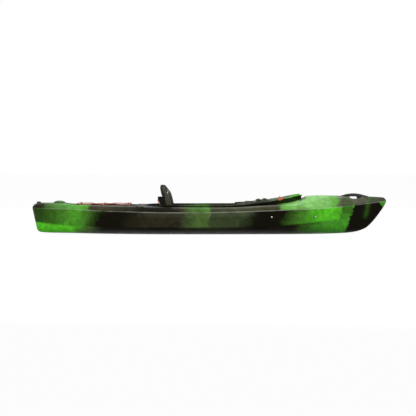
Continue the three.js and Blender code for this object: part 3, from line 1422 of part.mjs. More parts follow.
// Thigh pads under the deck beside the cockpit, and the foam pillar that holds the foredeck up
for (const [sideName, side] of sides) {
  const x = (thighFront + thighRear) / 2;
  const y = (side * (thighInner + thighOuter)) / 2;
  const z = underDeckZ(x, thighInner) - thighDepth + deckHeight / 2;
  const block = box(thighFront - thighRear, thighOuter - thighInner, deckHeight, x, y, z);
  addPart(`thigh_pad_${sideName}`, geometryOf(solid(block).intersect(hullCavity)), foam);
}
const pillarBlock = box(pillarFront - pillarRear, 2 * pillarHalfWidth, 2 * deckHeight, (pillarFront + pillarRear) / 2);
addPart("bow_pillar", geometryOf(solid(pillarBlock).intersect(hullCavity)), foam);

export default kayak;
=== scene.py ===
# %% [markdown]
# A sit-inside fishing kayak, dressed for the camera.
# The exact model gives every size and place. This script loads it, puts a finer piece over each
# part that the eye lands on, and gives the rest a better finish. The bow points to +X, port is +Y
# and the flat of the keel lies on z = 0. Sizes of shapes are written in millimetres and scaled when
# a mesh is made. What belongs to the camera, the lamps and the materials is in metres.

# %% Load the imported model
from math import atan, atan2, copysign, cos, hypot, pi, radians, sin, sqrt

import bmesh
import bpy
import numpy as np
from mathutils import Euler, Matrix, Vector


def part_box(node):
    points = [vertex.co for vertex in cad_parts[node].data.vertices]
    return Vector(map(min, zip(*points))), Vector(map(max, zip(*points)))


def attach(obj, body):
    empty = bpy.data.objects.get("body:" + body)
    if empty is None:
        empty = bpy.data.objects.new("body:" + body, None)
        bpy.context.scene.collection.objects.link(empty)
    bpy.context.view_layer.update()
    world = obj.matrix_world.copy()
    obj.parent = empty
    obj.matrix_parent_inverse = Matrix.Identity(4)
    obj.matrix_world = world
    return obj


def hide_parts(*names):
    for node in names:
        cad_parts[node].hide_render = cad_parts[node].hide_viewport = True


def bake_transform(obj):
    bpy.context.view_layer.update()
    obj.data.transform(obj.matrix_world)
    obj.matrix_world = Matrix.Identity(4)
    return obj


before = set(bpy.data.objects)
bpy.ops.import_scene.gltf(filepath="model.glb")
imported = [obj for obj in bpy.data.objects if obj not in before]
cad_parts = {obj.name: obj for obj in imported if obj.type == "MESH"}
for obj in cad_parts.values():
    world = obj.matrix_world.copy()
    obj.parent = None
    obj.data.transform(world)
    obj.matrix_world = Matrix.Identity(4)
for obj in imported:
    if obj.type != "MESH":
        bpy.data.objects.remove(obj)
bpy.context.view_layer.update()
MM = 0.001

# %% [markdown]
# Two helpers serve every finish below. Colours are picked as the sRGB hex values one reads off a
# photograph, and Blender wants them linear, so one function turns them. The other adds one node
# with its settings and links, which keeps a node tree readable as a list. Sockets without a name of
# their own go by number. A colour mix takes its share in 0 and its colours in 6 and 7. A map range
# reads the range from 1 to 2 and turns it to the range from 3 to 4.

# %% Colour and node helpers
def colour(code):
    """An sRGB hex value such as "4fae2a" as the linear colour a socket takes."""
    parts = [int(code[i:i + 2], 16) / 255 for i in (0, 2, 4)]
    linear = [p / 12.92 if p <= 0.04045 else ((p + 0.055) / 1.055) ** 2.4 for p in parts]
    return (*linear, 1.0)


def first_output(node):
    """The output that matters: the third of a colour mix or an attribute, else the first."""
    return node.outputs[2 if node.bl_idname in ("ShaderNodeMix", "ShaderNodeAttribute") else 0]


def add(tree, kind, settings=None, links=None):
    """Adds a node; a kind without Node in its name is a shader's, and a mix is one of colours.

    A setting is one of the node's own, or else the value of an input. A link comes from an
    output, or from a node, which stands for the output that matters."""
    node = tree.nodes.new(kind if "Node" in kind else "ShaderNode" + kind)
    if kind == "Mix":
        node.data_type = "RGBA"
    for name, value in (settings or {}).items():
        if name == "stops":
            ramp = node.color_ramp
            while len(ramp.elements) < len(value):
                ramp.elements.new(1.0)
            for element, (place, shade) in zip(ramp.elements, value):
                element.position = place
                element.color = colour(shade) if isinstance(shade, str) else (shade, shade, shade, 1)
        elif name == "interpolation" and hasattr(node, "color_ramp"):
            node.color_ramp.interpolation = value
        elif isinstance(name, str) and hasattr(node, name):
            setattr(node, name, value)
        else:
            node.inputs[name].default_value = value
    for name, source in (links or {}).items():
        output = first_output(source) if isinstance(source, bpy.types.Node) else source
        tree.links.new(output, node.inputs[name])
    return node


def blank(name):
    material = bpy.data.materials.new(name)
    material.use_nodes = True
    material.node_tree.nodes.clear()
    return material, material.node_tree, add(material.node_tree, "ShaderNodeOutputMaterial")


def new_object(name, data):
    made = bpy.data.objects.new(name, data)
    bpy.context.scene.collection.objects.link(made)
    return made


def look_along(thing, place, direction):
    thing.location = place
    thing.rotation_mode = "QUATERNION"
    thing.rotation_quaternion = direction.to_track_quat("-Z", "Y")

# %% [markdown]
# The photograph shows the boat square from its starboard side on plain white. The camera stands far
# off with a long lens, a couple of degrees above level, so the boat shows a sliver of its deck. The
# frame is 416 pixels square, and one pixel is 8.64 mm on the boat, which makes it 3.594 m wide.

# %% Camera
FRAME_WIDTH = 3.594
DISTANCE = 13.0
SENSOR = 36
TILT = radians(2.0)
AIM = Vector((-0.0138, 0.0, 0.2229))
camera = new_object("camera", bpy.data.cameras.new("camera"))
camera.data.sensor_width = SENSOR
camera.data.lens = SENSOR * DISTANCE / FRAME_WIDTH
camera.data.clip_end = 100
toward = Vector((0, cos(TILT), -sin(TILT)))
look_along(camera, AIM - toward * DISTANCE, toward)
bpy.context.scene.camera = camera
bpy.context.scene.view_settings.view_transform = "Standard"
print("camera lens", round(camera.data.lens, 1), "mm at", DISTANCE, "m")

# %% [markdown]
# The studio is a white floor and three soft lamps: a wide one overhead, one in front, and a weak one
# behind. The long sheen under the gunwale is painted into the hull's colour. The white behind the
# boat is the colour of the world and the floor as the camera and the gloss see it, and adds no light
# to the boat.

# %% Floor, world and lamps
def white_where_seen(tree, low, seen):
    """A strength that is `seen` for camera, gloss and glass rays, and `low` for the rest."""
    path = add(tree, "LightPath")
    either = add(tree, "Math", {"operation": "MAXIMUM"},
                 {0: path.outputs["Is Camera Ray"], 1: path.outputs["Is Glossy Ray"]})
    any_of = add(tree, "Math", {"operation": "MAXIMUM"},
                 {0: either, 1: path.outputs["Is Transmission Ray"]})
    return add(tree, "MapRange", {3: low, 4: seen}, {0: any_of}).outputs[0]


WORLD_LIGHT, FLOOR_REACH, FLOOR_Z = 0.42, 40, -0.001
world = bpy.data.worlds.new("studio")
bpy.context.scene.world = world
world.use_nodes = True
world.node_tree.nodes.clear()
sky = add(world.node_tree, "ShaderNodeBackground", {"Color": (1, 1, 1, 1)},
          {"Strength": white_where_seen(world.node_tree, WORLD_LIGHT, 1.0)})
add(world.node_tree, "ShaderNodeOutputWorld", links={"Surface": sky})

floor_mesh = bpy.data.meshes.new("floor")
floor_mesh.from_pydata([(x * FLOOR_REACH, y * FLOOR_REACH, FLOOR_Z)
                        for x, y in ((-1, -1), (1, -1), (1, 1), (-1, 1))], [], [(0, 1, 2, 3)])
floor = new_object("floor", floor_mesh)
paper, tree, out = blank("white_paper_floor")
matte = add(tree, "BsdfDiffuse", {"Color": colour("f2f2f0"), "Roughness": 1.0})
glow = add(tree, "Emission", {"Color": (1, 1, 1, 1), "Strength": 1.03})
both = add(tree, "MixShader", links={
    0: white_where_seen(tree, 0.0, 0.92), 1: matte, 2: glow})
tree.links.new(both.outputs[0], out.inputs["Surface"])
floor_mesh.materials.append(paper)


def lamp(name, place, aim, size, power):
    light = bpy.data.lights.new(name, "AREA")
    light.shape = "RECTANGLE"
    light.size, light.size_y = size
    light.energy = power
    look_along(new_object(name, light), place, Vector(aim) - Vector(place))


BOAT_MIDDLE = (0, 0, 0.2)
lamp("overhead_softbox", (0.0, -1.0, 4.2), BOAT_MIDDLE, (4.5, 1.6), 135)
lamp("front_softbox", (-0.8, -6.5, 2.0), BOAT_MIDDLE, (5.0, 2.6), 150)
lamp("back_softbox", (0.5, 4.0, 3.0), BOAT_MIDDLE, (4.0, 1.5), 60)

# %% [markdown]
# The hull is one hollow moulding, so it is made as its maker's mould is: a fair outside shape, a
# second one a wall's thickness inside it, and pockets for the tankwell, the cup and the hand-holds.
# The outside is lofted through sections whose sizes come from short tables along the length, and a
# smooth curve runs through each table. Booleans join and cut the parts, because all are closed.

# %% Mesh helpers
TOUCHING = 2e-6


def piece(name, points, faces):
    """A mesh object with its place in its mesh, its doubles merged and its faces pointing out."""
    mesh = bpy.data.meshes.new(name)
    mesh.from_pydata([tuple(c * MM for c in p) for p in points], [], faces)
    made = bmesh.new()
    made.from_mesh(mesh)
    bmesh.ops.remove_doubles(made, verts=made.verts, dist=TOUCHING)
    bmesh.ops.recalc_face_normals(made, faces=made.faces)
    made.to_mesh(mesh)
    made.free()
    return new_object(name, mesh)


def cap(start, size):
    """Faces that close a ring of points by strips from side to side."""
    faces, low, high = [], 0, size - 1
    while low + 1 < high:
        strip = (low, low + 1, high - 1, high) if low + 1 < high - 1 else (low, low + 1, high)
        faces.append(tuple(start + corner for corner in strip))
        low, high = low + 1, high - 1
    return faces


def loft(name, rings, closed=False):
    """Joins rings of points in order. Open ends are capped."""
    size, count = len(rings[0]), len(rings)
    faces = []
    for r in range(count if closed else count - 1):
        a, b = r * size, ((r + 1) % count) * size
        faces += [(a + i, a + (i + 1) % size, b + (i + 1) % size, b + i) for i in range(size)]
    if not closed:
        faces += cap(0, size) + cap((count - 1) * size, size)
    return piece(name, [p for ring in rings for p in ring], faces)


def evaluated(thing):
    graph = bpy.context.evaluated_depsgraph_get()
    return bpy.data.meshes.new_from_object(thing.evaluated_get(graph))


def applied(thing):
    bpy.context.view_layer.update()
    shape = evaluated(thing)
    thing.modifiers.clear()
    thing.data = shape
    return thing


def combine(base, operation, *others):
    """Joins or cuts closed meshes one after another, and removes the ones that were used."""
    for other in others:
        step = base.modifiers.new("step", "BOOLEAN")
        step.operation, step.solver, step.object = operation, "MANIFOLD", other
        applied(base)
        bpy.data.objects.remove(other)
    return base


def mixed(a, b, share):
    return a + (b - a) * share


def angles_round(count, first=0.5):
    """Angles once round in equal steps; first is where in its step each one lies."""
    return [2 * pi * (k + first) / count for k in range(count)]


def squared(angle, power):
    """A point of the unit circle (power 2), drawn out towards a square by a higher power."""
    return tuple(copysign(abs(c) ** (2 / power), c) for c in (cos(angle), sin(angle)))


print("helpers for lofts, booleans and outlines are ready")

# %% [markdown]
# A curve through a table must not swing past its values, or the keel line would ripple. This one
# takes its slope at each value from the slopes on both sides, and is level at a peak.

# %% The curve through a table
def smooth(table):
    """A function of place that runs through a table of (place, value)."""
    slopes = [(b[1] - a[1]) / (b[0] - a[0]) for a, b in zip(table, table[1:])]
    turns = [slopes[0]]
    for before, after in zip(slopes, slopes[1:]):
        turns.append(0 if before * after <= 0 else 2 * before * after / (before + after))
    turns.append(slopes[-1])

    def value(place):
        if place <= table[0][0]:
            return table[0][1]
        if place >= table[-1][0]:
            return table[-1][1]
        i = next(k for k in range(len(table) - 1) if place <= table[k + 1][0])
        span = table[i + 1][0] - table[i][0]
        t = (place - table[i][0]) / span
        a, b = table[i][1], table[i + 1][1]
        return (a * (2 * t**3 - 3 * t**2 + 1) + b * (3 * t**2 - 2 * t**3)
                + span * (turns[i] * (t**3 - 2 * t**2 + t) + turns[i + 1] * (t**3 - t**2)))
    return value


print("half way up a table from 0 to 1 the curve gives", smooth([(0, 0), (1, 1)])(0.5))

# %% [markdown]
# The hull of such a boat is drawn as a few lines along its length: its half breadth, the keel, the
# gunwale, the edge and the middle of the deck, and the chine where bottom meets side. Each table
# holds (place, share) from stern to bow. A place is a share of the length, counted from amidships.
# Breadths are shares of the half beam and heights are shares of the height of the deck.

# %% Sizes of the hull in millimetres, and its tables of shares
LENGTH, HALF_BEAM, DECK, WALL = 3048, 365, 333, 4
beam_at = smooth([
    (-0.5, 0.15), (-0.496, 0.22), (-0.487, 0.3), (-0.469, 0.39), (-0.406, 0.58), (-0.3125, 0.775),
    (-0.219, 0.905),
    (-0.125, 0.975), (-0.031, 1), (0.0625, 0.98), (0.156, 0.903), (0.25, 0.77), (0.3125, 0.635),
    (0.375, 0.46),
    (0.422, 0.31), (0.453, 0.2), (0.478, 0.115), (0.492, 0.06), (0.5, 0.02)])
keel_at = smooth([
    (-0.5, 0.11), (-0.496, 0.07), (-0.487, 0.05), (-0.464, 0.038), (-0.379, 0.027), (-0.3, 0.012),
    (-0.2, 0.003),
    (-0.13, 0), (0.22, 0), (0.3128, 0.005), (0.384, 0.026), (0.412, 0.057), (0.432, 0.109), (0.4434, 0.16),
    (0.4575, 0.274), (0.469, 0.394), (0.483, 0.566), (0.493, 0.7), (0.5, 0.82)])
gunwale_at = smooth([
    (-0.5, 0.67), (-0.379, 0.651), (-0.311, 0.617), (-0.197, 0.591), (-0.127, 0.577), (-0.027, 0.577),
    (0.058, 0.591),
    (0.143, 0.617), (0.228, 0.643), (0.313, 0.669), (0.37, 0.706), (0.404, 0.74), (0.44, 0.78), (0.492, 0.84),
    (0.5, 0.85)])
ridge_at = smooth([
    (-0.5, 0.7), (-0.495, 0.735), (-0.487, 0.765), (-0.475, 0.785), (-0.42, 0.785), (-0.379, 0.763),
    (-0.311, 0.751),
    (-0.2325, 0.746), (-0.169, 0.734), (-0.027, 0.711), (0.058, 0.712), (0.143, 0.745), (0.2, 0.76),
    (0.24, 0.775),
    (0.276, 0.8), (0.32, 0.8), (0.37, 0.815), (0.42, 0.835), (0.465, 0.865), (0.492, 0.875), (0.5, 0.865)])
crown_at = smooth([
    (-0.5, 0.73), (-0.495, 0.775), (-0.487, 0.8), (-0.475, 0.811), (-0.42, 0.811), (-0.379, 0.77),
    (-0.311, 0.755),
    (-0.2325, 0.75), (-0.169, 0.74), (-0.027, 0.716), (0.058, 0.72), (0.143, 0.76), (0.2, 0.8), (0.236, 0.85),
    (0.2493, 0.88), (0.262, 0.935), (0.276, 0.988), (0.3128, 1), (0.355, 0.993), (0.384, 0.987),
    (0.449, 0.97),
    (0.4915, 0.945), (0.497, 0.91), (0.5, 0.87)])
chine_width_at = smooth([
    (-0.5, 0.9), (-0.4, 0.9), (-0.2, 0.925), (0, 0.93), (0.2, 0.91), (0.3, 0.84), (0.38, 0.7), (0.45, 0.55),
    (0.5, 0.6)])
chine_height_at = smooth([
    (-0.5, 0.34), (-0.4625, 0.3), (-0.379, 0.24), (-0.25, 0.216), (0, 0.212), (0.15, 0.232), (0.25, 0.3),
    (0.32, 0.36), (0.375, 0.41), (0.42, 0.47), (0.46, 0.6), (0.49, 0.78), (0.5, 0.84)])
flat_at = smooth([
    (-0.5, 0.5), (-0.4, 0.36), (-0.2, 0.33), (0.2, 0.33), (0.3, 0.24), (0.36, 0.12), (0.41, 0.06),
    (0.5, 0.04)])
rim_height_at = smooth([
    (-0.18, 0.768), (0.058, 0.772), (0.086, 0.787), (0.143, 0.838), (0.2, 0.921), (0.245, 1.006),
    (0.26, 1.02)])
print("the hull is", LENGTH, "mm long and", 2 * HALF_BEAM, "mm wide")

# %% [markdown]
# Half a section goes from the keel round the bilge to a chine, up the side to the gunwale crease,
# over a small ledge to the shoulder and across the deck. Its corners are then rounded by the radius
# a mould would give them: wide at bilge and shoulder, tight at chine and gunwale.

# %% One section of the hull
def half_section(x):
    s = x / LENGTH
    beam, keel = HALF_BEAM * beam_at(s), DECK * keel_at(s)
    flat = beam * flat_at(s)
    chine = (beam * chine_width_at(s), max(DECK * chine_height_at(s), keel + 5))
    gunwale = (beam, max(DECK * gunwale_at(s), chine[1] + 5))
    step = min(5, beam * 0.08)
    ledge = (beam - step, gunwale[1] + min(9, beam * 0.08))
    ridge = (beam * 0.84, max(DECK * ridge_at(s), ledge[1] + step))
    crown = max(DECK * crown_at(s), ridge[1] + step)
    return [
        (0, keel), (flat, keel),
        (mixed(flat, chine[0], 0.5), mixed(keel, chine[1], 0.17)),
        (mixed(flat, chine[0], 0.85), mixed(keel, chine[1], 0.56)), chine,
        (mixed(chine[0], gunwale[0], 0.58), mixed(chine[1], gunwale[1], 0.5)), gunwale, ledge,
        (beam * 0.955, mixed(ledge[1], ridge[1], 0.5)), ridge,
        (beam * 0.56, mixed(ridge[1], crown, 0.62)), (beam * 0.28, mixed(ridge[1], crown, 0.9)), (0, crown)]


def moved_in(half, inset):
    edges = []
    for (y0, z0), (y1, z1) in zip(half, half[1:]):
        size = hypot(y1 - y0, z1 - z0)
        dy, dz = (y1 - y0) / size, (z1 - z0) / size
        edges.append((y0 - inset * dz, z0 + inset * dy, dy, dz))

    def height(edge, y):
        return edge[1] + (y - edge[0]) * edge[3] / edge[2]

    moved = [(0, height(edges[0], 0))]
    for a, b in zip(edges, edges[1:]):
        cross = a[2] * b[3] - a[3] * b[2]
        if abs(cross) < 1e-6:
            moved.append((b[0], b[1]))
        else:
            along = ((b[0] - a[0]) * b[3] - (b[1] - a[1]) * b[2]) / cross
            moved.append((a[0] + a[2] * along, a[1] + a[3] * along))
    moved.append((0, height(edges[-1], 0)))
    for i in range(len(moved) - 2, -1, -1):
        if moved[i][0] < i * 0.3 and edges[i][2] > 1e-6:
            moved[i] = (i * 0.3, height(edges[i], i * 0.3))
    return moved


FULL = 999
CORNERS = {1: (60, 4), 2: (FULL, 5), 3: (FULL, 5), 4: (9, 4), 5: (FULL, 5), 6: (2.6, 3), 7: (3.2, 3),
           8: (FULL, 4), 9: (24, 6), 10: (FULL, 5), 11: (FULL, 5)}


def rounded(half):
    """Rounds each corner by (how many millimetres along its edges, in how many steps).

    A reach of FULL takes as much of both edges as there is."""
    made = [half[0]]
    for i in range(1, len(half) - 1):
        reach, steps = CORNERS[i]
        p = half[i]
        ends = []
        for q in (half[i - 1], half[i + 1]):
            size = hypot(q[0] - p[0], q[1] - p[1])
            share = min(reach, 0.49 * size) / size
            ends.append((mixed(p[0], q[0], share), mixed(p[1], q[1], share)))
        for k in range(steps + 1):
            t = k / steps
            made.append(tuple((1 - t)**2 * ends[0][c] + 2 * t * (1 - t) * p[c] + t * t * ends[1][c]
                              for c in (0, 1)))
    return made + [half[-1]]


def height_at(x, y, inset=0, upper=True):
    """How high the deck, or the floor, lies above the keel at x, y."""
    half = moved_in(half_section(x), inset) if inset else half_section(x)
    order = half[::-1] if upper else half
    for (y0, z0), (y1, z1) in zip(order, order[1:]):
        if y0 <= abs(y) <= y1:
            return mixed(z0, z1, (abs(y) - y0) / (y1 - y0))
    return order[0][1]


print("the deck amidships lies", round(height_at(0, 0), 1), "mm above the keel")

# %% [markdown]
# The body is lofted through those sections, closer together at the ends, where the lines bend most,
# and where the foredeck climbs over the feet. The stern leans: its sections are drawn forward at
# the keel and not at the gunwale. The inside is the same body, a wall's thickness further in.

# %% The hull's body, outside and inside
CLIMB = (0.2493, 0.256, 0.262, 0.269, 0.276)
STERN_LEAN, LEAN_LENGTH, LEAST_GAP = 46, 366, 1.2


def hull_body(name, inset, stern_gap, nose_gap, count):
    """The body as a closed loft; gaps leave material at the two ends."""
    places = [share * LENGTH for share in CLIMB]
    start, end = -LENGTH / 2 + stern_gap, LENGTH / 2 - nose_gap
    for i in range(count + 1):
        t = i / count - 0.5
        places.append(mixed(start, end, mixed(t, sin(pi * t) / 2, 0.75) + 0.5))
    places = sorted(places)
    places = [p for i, p in enumerate(places)
              if i in (0, len(places) - 1) or p - places[i - 1] > LEAST_GAP]
    rings = []
    for x in places:
        half = rounded(moved_in(half_section(x), inset) if inset else half_section(x))
        both = half + [(-y, z) for y, z in half[-2:0:-1]]
        pull = max(0, min(1, 1 - (x + LENGTH / 2) / LEAN_LENGTH))
        rings.append([(x + STERN_LEAN * pull * max(1 - z / (DECK * gunwale_at(-0.5)), 0), y, z)
                      for y, z in both])
    return loft(name, rings)


outside = hull_body("hull_shell_moulding", 0, 0, 0, 210)
inside = hull_body("inside", WALL, 6, 46, 110)
print("outside", len(outside.data.polygons), "faces, inside", len(inside.data.polygons))

# %% [markdown]
# The cockpit rim is a low wall with a lip that turns out and down, which a spray cover would grip.
# Its plan is round behind and drawn to a point ahead. Level after level of that plan, each moved out
# by a little, gives the lip with its rounded edge in one closed form. The point gets a small fan of
# directions, so that the lip goes round it instead of ending in a spike.

# %% The cockpit rim
REAR, FRONT, RIM_HALF = -548, 792, 248
ROUND_SHARE, ROUND_POWER, TAPER_SHARE, SHARP_TURN = 0.16, 2.4, 0.4, 0.6


def rim_z(x):
    return DECK * rim_height_at(x / LENGTH)


def rim_plan(steps=90):
    """The rim from above: round over its rear share, tapered over the rest beyond TAPER_SHARE."""
    half = []
    for i in range(steps + 1):
        t = 0.5 - cos(pi * i / steps) / 2
        rear = 1
        if t < ROUND_SHARE:
            rear = (1 - (1 - t / ROUND_SHARE) ** ROUND_POWER) ** (1 / ROUND_POWER)
        taper = max(t - TAPER_SHARE, 0) / (1 - TAPER_SHARE)
        half.append((REAR + t * (FRONT - REAR), RIM_HALF * rear * (1 - taper ** 1.9) ** 0.8))
    return [(x, -y) for x, y in half[-2:0:-1]] + half


def with_normals(plan, fan=8):
    """Each point of an outline with the direction that leads out of it, whichever way round it runs.

    A sharp corner gets a fan of directions."""
    made, count = [], len(plan)
    area = sum(a[0] * b[1] - b[0] * a[1] for a, b in zip(plan, plan[1:] + plan[:1]))
    for i, (x, y) in enumerate(plan):
        (bx, by), (ax, ay) = plan[i - 1], plan[(i + 1) % count]
        sides = []
        for (ux, uy), (vx, vy) in (((bx, by), (x, y)), ((x, y), (ax, ay))):
            size = hypot(vx - ux, vy - uy)
            sign = copysign(1, area)
            sides.append(atan2(-(vx - ux) * sign, (vy - uy) * sign))
        turn = (sides[1] - sides[0] + pi) % (2 * pi) - pi
        spread = fan if abs(turn) > SHARP_TURN else 0
        for k in range(spread + 1):
            angle = sides[0] + turn * (k / spread if spread else 0.5)
            made.append((x, y, cos(angle), sin(angle)))
    return made


plan = rim_plan()
LIP = [(0, -130), (0, -9), (0.6, -6.4), (2.4, -5.2), (10.4, -5), (11.6, -5.6), (12, -7), (12, -9),
       (12.6, -10), (14.5, -10.2), (16.3, -9.8), (17, -8.5), (17, -3.2), (16.3, -1.4), (14.6, -0.3),
       (12, 0), (0, 0)]
LIP_NARROWS = 690
# The ring starts in the middle of the tip's fan, so that its cap runs straight across.
edge = with_normals(plan)
edge = edge[-5:] + edge[:-5]


def lip_reach(x, out):
    return out * (1 - 0.6 * max(0, (x - LIP_NARROWS) / (FRONT - LIP_NARROWS)) ** 1.5)


rim = loft("rim", [[(x + nx * lip_reach(x, out), y + ny * lip_reach(x, out), rim_z(x) + up)
                    for x, y, nx, ny in edge] for out, up in LIP])
print("rim from", REAR, "to", FRONT, "mm,", len(rim.data.polygons), "faces")

# %% [markdown]
# The dash fills the front of that rim, a hand's breadth ahead of the paddler's chest, and its rear
# edge curves forward in the middle. A grid over it, along and across, drops off in a quarter round
# near its sides, so its top and its rounded edge are one smooth skin.

# %% The dash
DASH_REAR, DASH_CURVE, DASH_RISE, DASH_INSIDE, DASH_FOOT = 196, 118, 9, 14, 100
DASH_ACROSS, DASH_ALONG = 64, 70


def rim_half(x):
    above = sorted((px, py) for px, py in plan if py >= 0)
    i = next((k for k in range(1, len(above)) if above[k][0] > x), len(above) - 1)
    (ax, ay), (bx, by) = above[i - 1], above[i]
    return mixed(ay, by, (x - ax) / (bx - ax))


def dash_rear(across):
    return DASH_REAR + DASH_CURVE * cos(pi / 2 * across)


def dash_body(name, inset, radius):
    """The dash as rings across the hull, its edge rounded by the radius."""
    tip = next(x for x in range(790, 700, -1) if rim_half(x) > 16 + inset)
    spread = [sin(pi / 2 * (2 * k / DASH_ACROSS - 1)) for k in range(DASH_ACROSS + 1)]
    rings = []
    for s in range(DASH_ALONG + 1):
        ring, share = [], 1 - (1 - s / DASH_ALONG) ** 1.3
        for u in spread:
            rear = dash_rear(u) + inset
            x = mixed(rear, tip, share)
            wide = rim_half(x) - DASH_INSIDE - inset
            drop = 0
            for near in ((1 - abs(u)) * wide, x - rear):
                if near < radius:
                    drop = max(drop, radius - sqrt(radius**2 - (radius - near)**2))
            ring.append((x, u * wide, rim_z(x) + DASH_RISE - inset - drop))
        foot = [(*ring[-1][:2], DASH_FOOT), (*ring[0][:2], DASH_FOOT)]
        rings.append(ring + foot)
    return loft(name, rings)


dash = dash_body("dash", 0, 8)
print("dash", len(dash.data.polygons), "faces")


BELOW, ABOVE, BESIDE, AHEAD = 20, 600, 300, 830


def region(inset):
    """Everything ahead of the dash's curved rear edge, as a tall block."""
    edge_line = []
    for k in range(61):
        across = 2 * k / 60 - 1
        slope = -DASH_CURVE * pi / 2 * sin(pi / 2 * across) / RIM_HALF
        size = hypot(slope, 1)
        edge_line.append((dash_rear(across) + inset / size, across * RIM_HALF - inset * slope / size))
    edge_line[0] = (edge_line[0][0], -BESIDE)
    edge_line[-1] = (edge_line[-1][0], BESIDE)
    outline = edge_line + [(AHEAD, BESIDE), (AHEAD, -BESIDE)]
    count = len(outline)
    points = [(x, y, z) for z in (BELOW, ABOVE) for x, y in outline]
    faces = [tuple(range(count)), tuple(range(count, 2 * count))]
    faces += [(i, (i + 1) % count, (i + 1) % count + count, i + count) for i in range(count)]
    return piece("region", points, faces)

# %% [markdown]
# A pocket is a stack of outlines: full size at the deck with a rounded brim, drawn in by the mould's
# draft further down, and turned into the floor by a wide fillet. The same stack, moved out by the
# wall, later cuts the inside, so a pocket has a wall as the rest of the hull does.

# %% Where things sit on the hull, in millimetres
WELL_REAR, WELL_FRONT, WELL_FLOOR, WELL_HALF_REAR, WELL_HALF_FRONT = -1232, -618, 128, 138, 214
TRAY_X, TRAY_Y, TRAY_DEEP = 345, 118, 12
CUP_X, CUP_RADIUS, CUP_DEEP = 548, 38, 62
GRIP_Z, GRIP_HALF, GRIP_RADIUS = 255, 53, 13
HUMP_X, HUMP_LONG, HUMP_WIDE, HUMP_TOP = -1296, 52, 92, 288
HANDLE_X, HANDLE_BOLTS, DISH_RADIUS, DISH_DEEP = 1254, (1153, 1355), 55, 24
RESTS_X, RESTS_Y, PLATE_X, PLATE_Y = 449, 118, 340, -118
DRAIN_X, ROD_X, ROD_Y, BRACE_SCREWS_X, BRACE_Z = -1474, -592, 262, (522, 895), 158


def well_half(x):
    return mixed(WELL_HALF_REAR, WELL_HALF_FRONT, (x - WELL_REAR) / (WELL_FRONT - WELL_REAR))


print("the tankwell is", WELL_FRONT - WELL_REAR, "mm long and", 2 * WELL_HALF_FRONT, "mm wide")

# %% Tankwell, cup holder, tray and hand-holds
def pocket(name, outline, floor_z, fillet, draft, brim, wall, top):
    """A closed pocket inside an outline (x, y, nx, ny); top gives the height of its brim at x, y."""
    rings = []

    def ring(out, up):
        rings.append([(x + nx * (out + wall), y + ny * (out + wall), up(x, y))
                      for x, y, nx, ny in outline])

    for k in range(7):
        a = pi / 2 * k / 6
        ring(-draft - fillet * (1 - sin(a)),
             lambda x, y, a=a: floor_z - wall + fillet * (1 - cos(a)))
    for k in range(1, 5):
        ring(-draft * (1 - k / 4),
             lambda x, y, k=k: mixed(floor_z + fillet, top(x, y) - brim - wall, k / 4))
    if not wall:
        for k in range(1, 6):
            a = pi / 2 * k / 5
            ring(brim * (1 - cos(a)), lambda x, y, a=a: top(x, y) - brim + brim * sin(a))
    ring(0 if wall else brim, lambda x, y: top(x, y) + 30)
    return loft(name, rings)


def superellipse(steps, power, place):
    """An outline that runs from a circle (power 2) towards a rectangle, put in place by a function."""
    return with_normals([place(*squared(a, power)) for a in angles_round(steps)], fan=0)


well_edge = superellipse(112, 5, lambda a, c: (
    mixed(WELL_REAR, WELL_FRONT, (a + 1) / 2), c * mixed(WELL_HALF_REAR, WELL_HALF_FRONT, (a + 1) / 2)))
tray_edge = superellipse(48, 7, lambda a, c: (TRAY_X + 36 * a, TRAY_Y + 33 * c))
cup_edge = superellipse(56, 2, lambda a, c: (CUP_X + CUP_RADIUS * a, CUP_RADIUS * c))


def dash_top(x, y=0):
    return rim_z(x) + DASH_RISE


def pockets(wall):
    """All pockets: floor height, fillet, draft and brim of each, moved out by a wall."""
    grip = [[(x, copysign(GRIP_HALF, cos(a)) + (GRIP_RADIUS + wall) * cos(a),
              GRIP_Z + (GRIP_RADIUS + wall) * sin(a)) for a in angles_round(24)]
            for x in (HUMP_X - HUMP_LONG + 16 - wall, WELL_REAR + 16)]
    dish = [[(HANDLE_X + (DISH_RADIUS + wall) * cos(a), y,
              height_at(HANDLE_X, 0) + (DISH_DEEP + wall) * sin(a)) for a in angles_round(72)]
            for y in (-200, 200)]
    return [
        pocket("well", well_edge, WELL_FLOOR, 22, 16, 7, wall, height_at),
        pocket("tray", tray_edge, dash_top(TRAY_X) - TRAY_DEEP, 5, 2, 3, wall, dash_top),
        pocket("cup", cup_edge, dash_top(CUP_X) - CUP_DEEP, 8, 4, 4, wall, dash_top),
        loft("grip", grip), loft("dish", dish)]


print("the tankwell's outline has", len(well_edge), "points, the cup's", len(cup_edge))

# %% [markdown]
# Small raised forms: the hump over the stern hand-hold, the two horned rests that keep a paddle's
# shaft on the dash, and a flat that the accessory plate is screwed to.

# %% Hump, paddle rests and plate seat
def hump():
    rings = []
    base = height_at(HUMP_X, 0) - 4
    for i in range(1, 32):
        a = pi * i / 32
        x, size = HUMP_X - HUMP_LONG * cos(a), sin(a)
        rings.append([(x, HUMP_WIDE * size * cos(b), base + (HUMP_TOP - base) * size * sin(b))
                      for b in angles_round(40)])
    return loft("hump", rings)


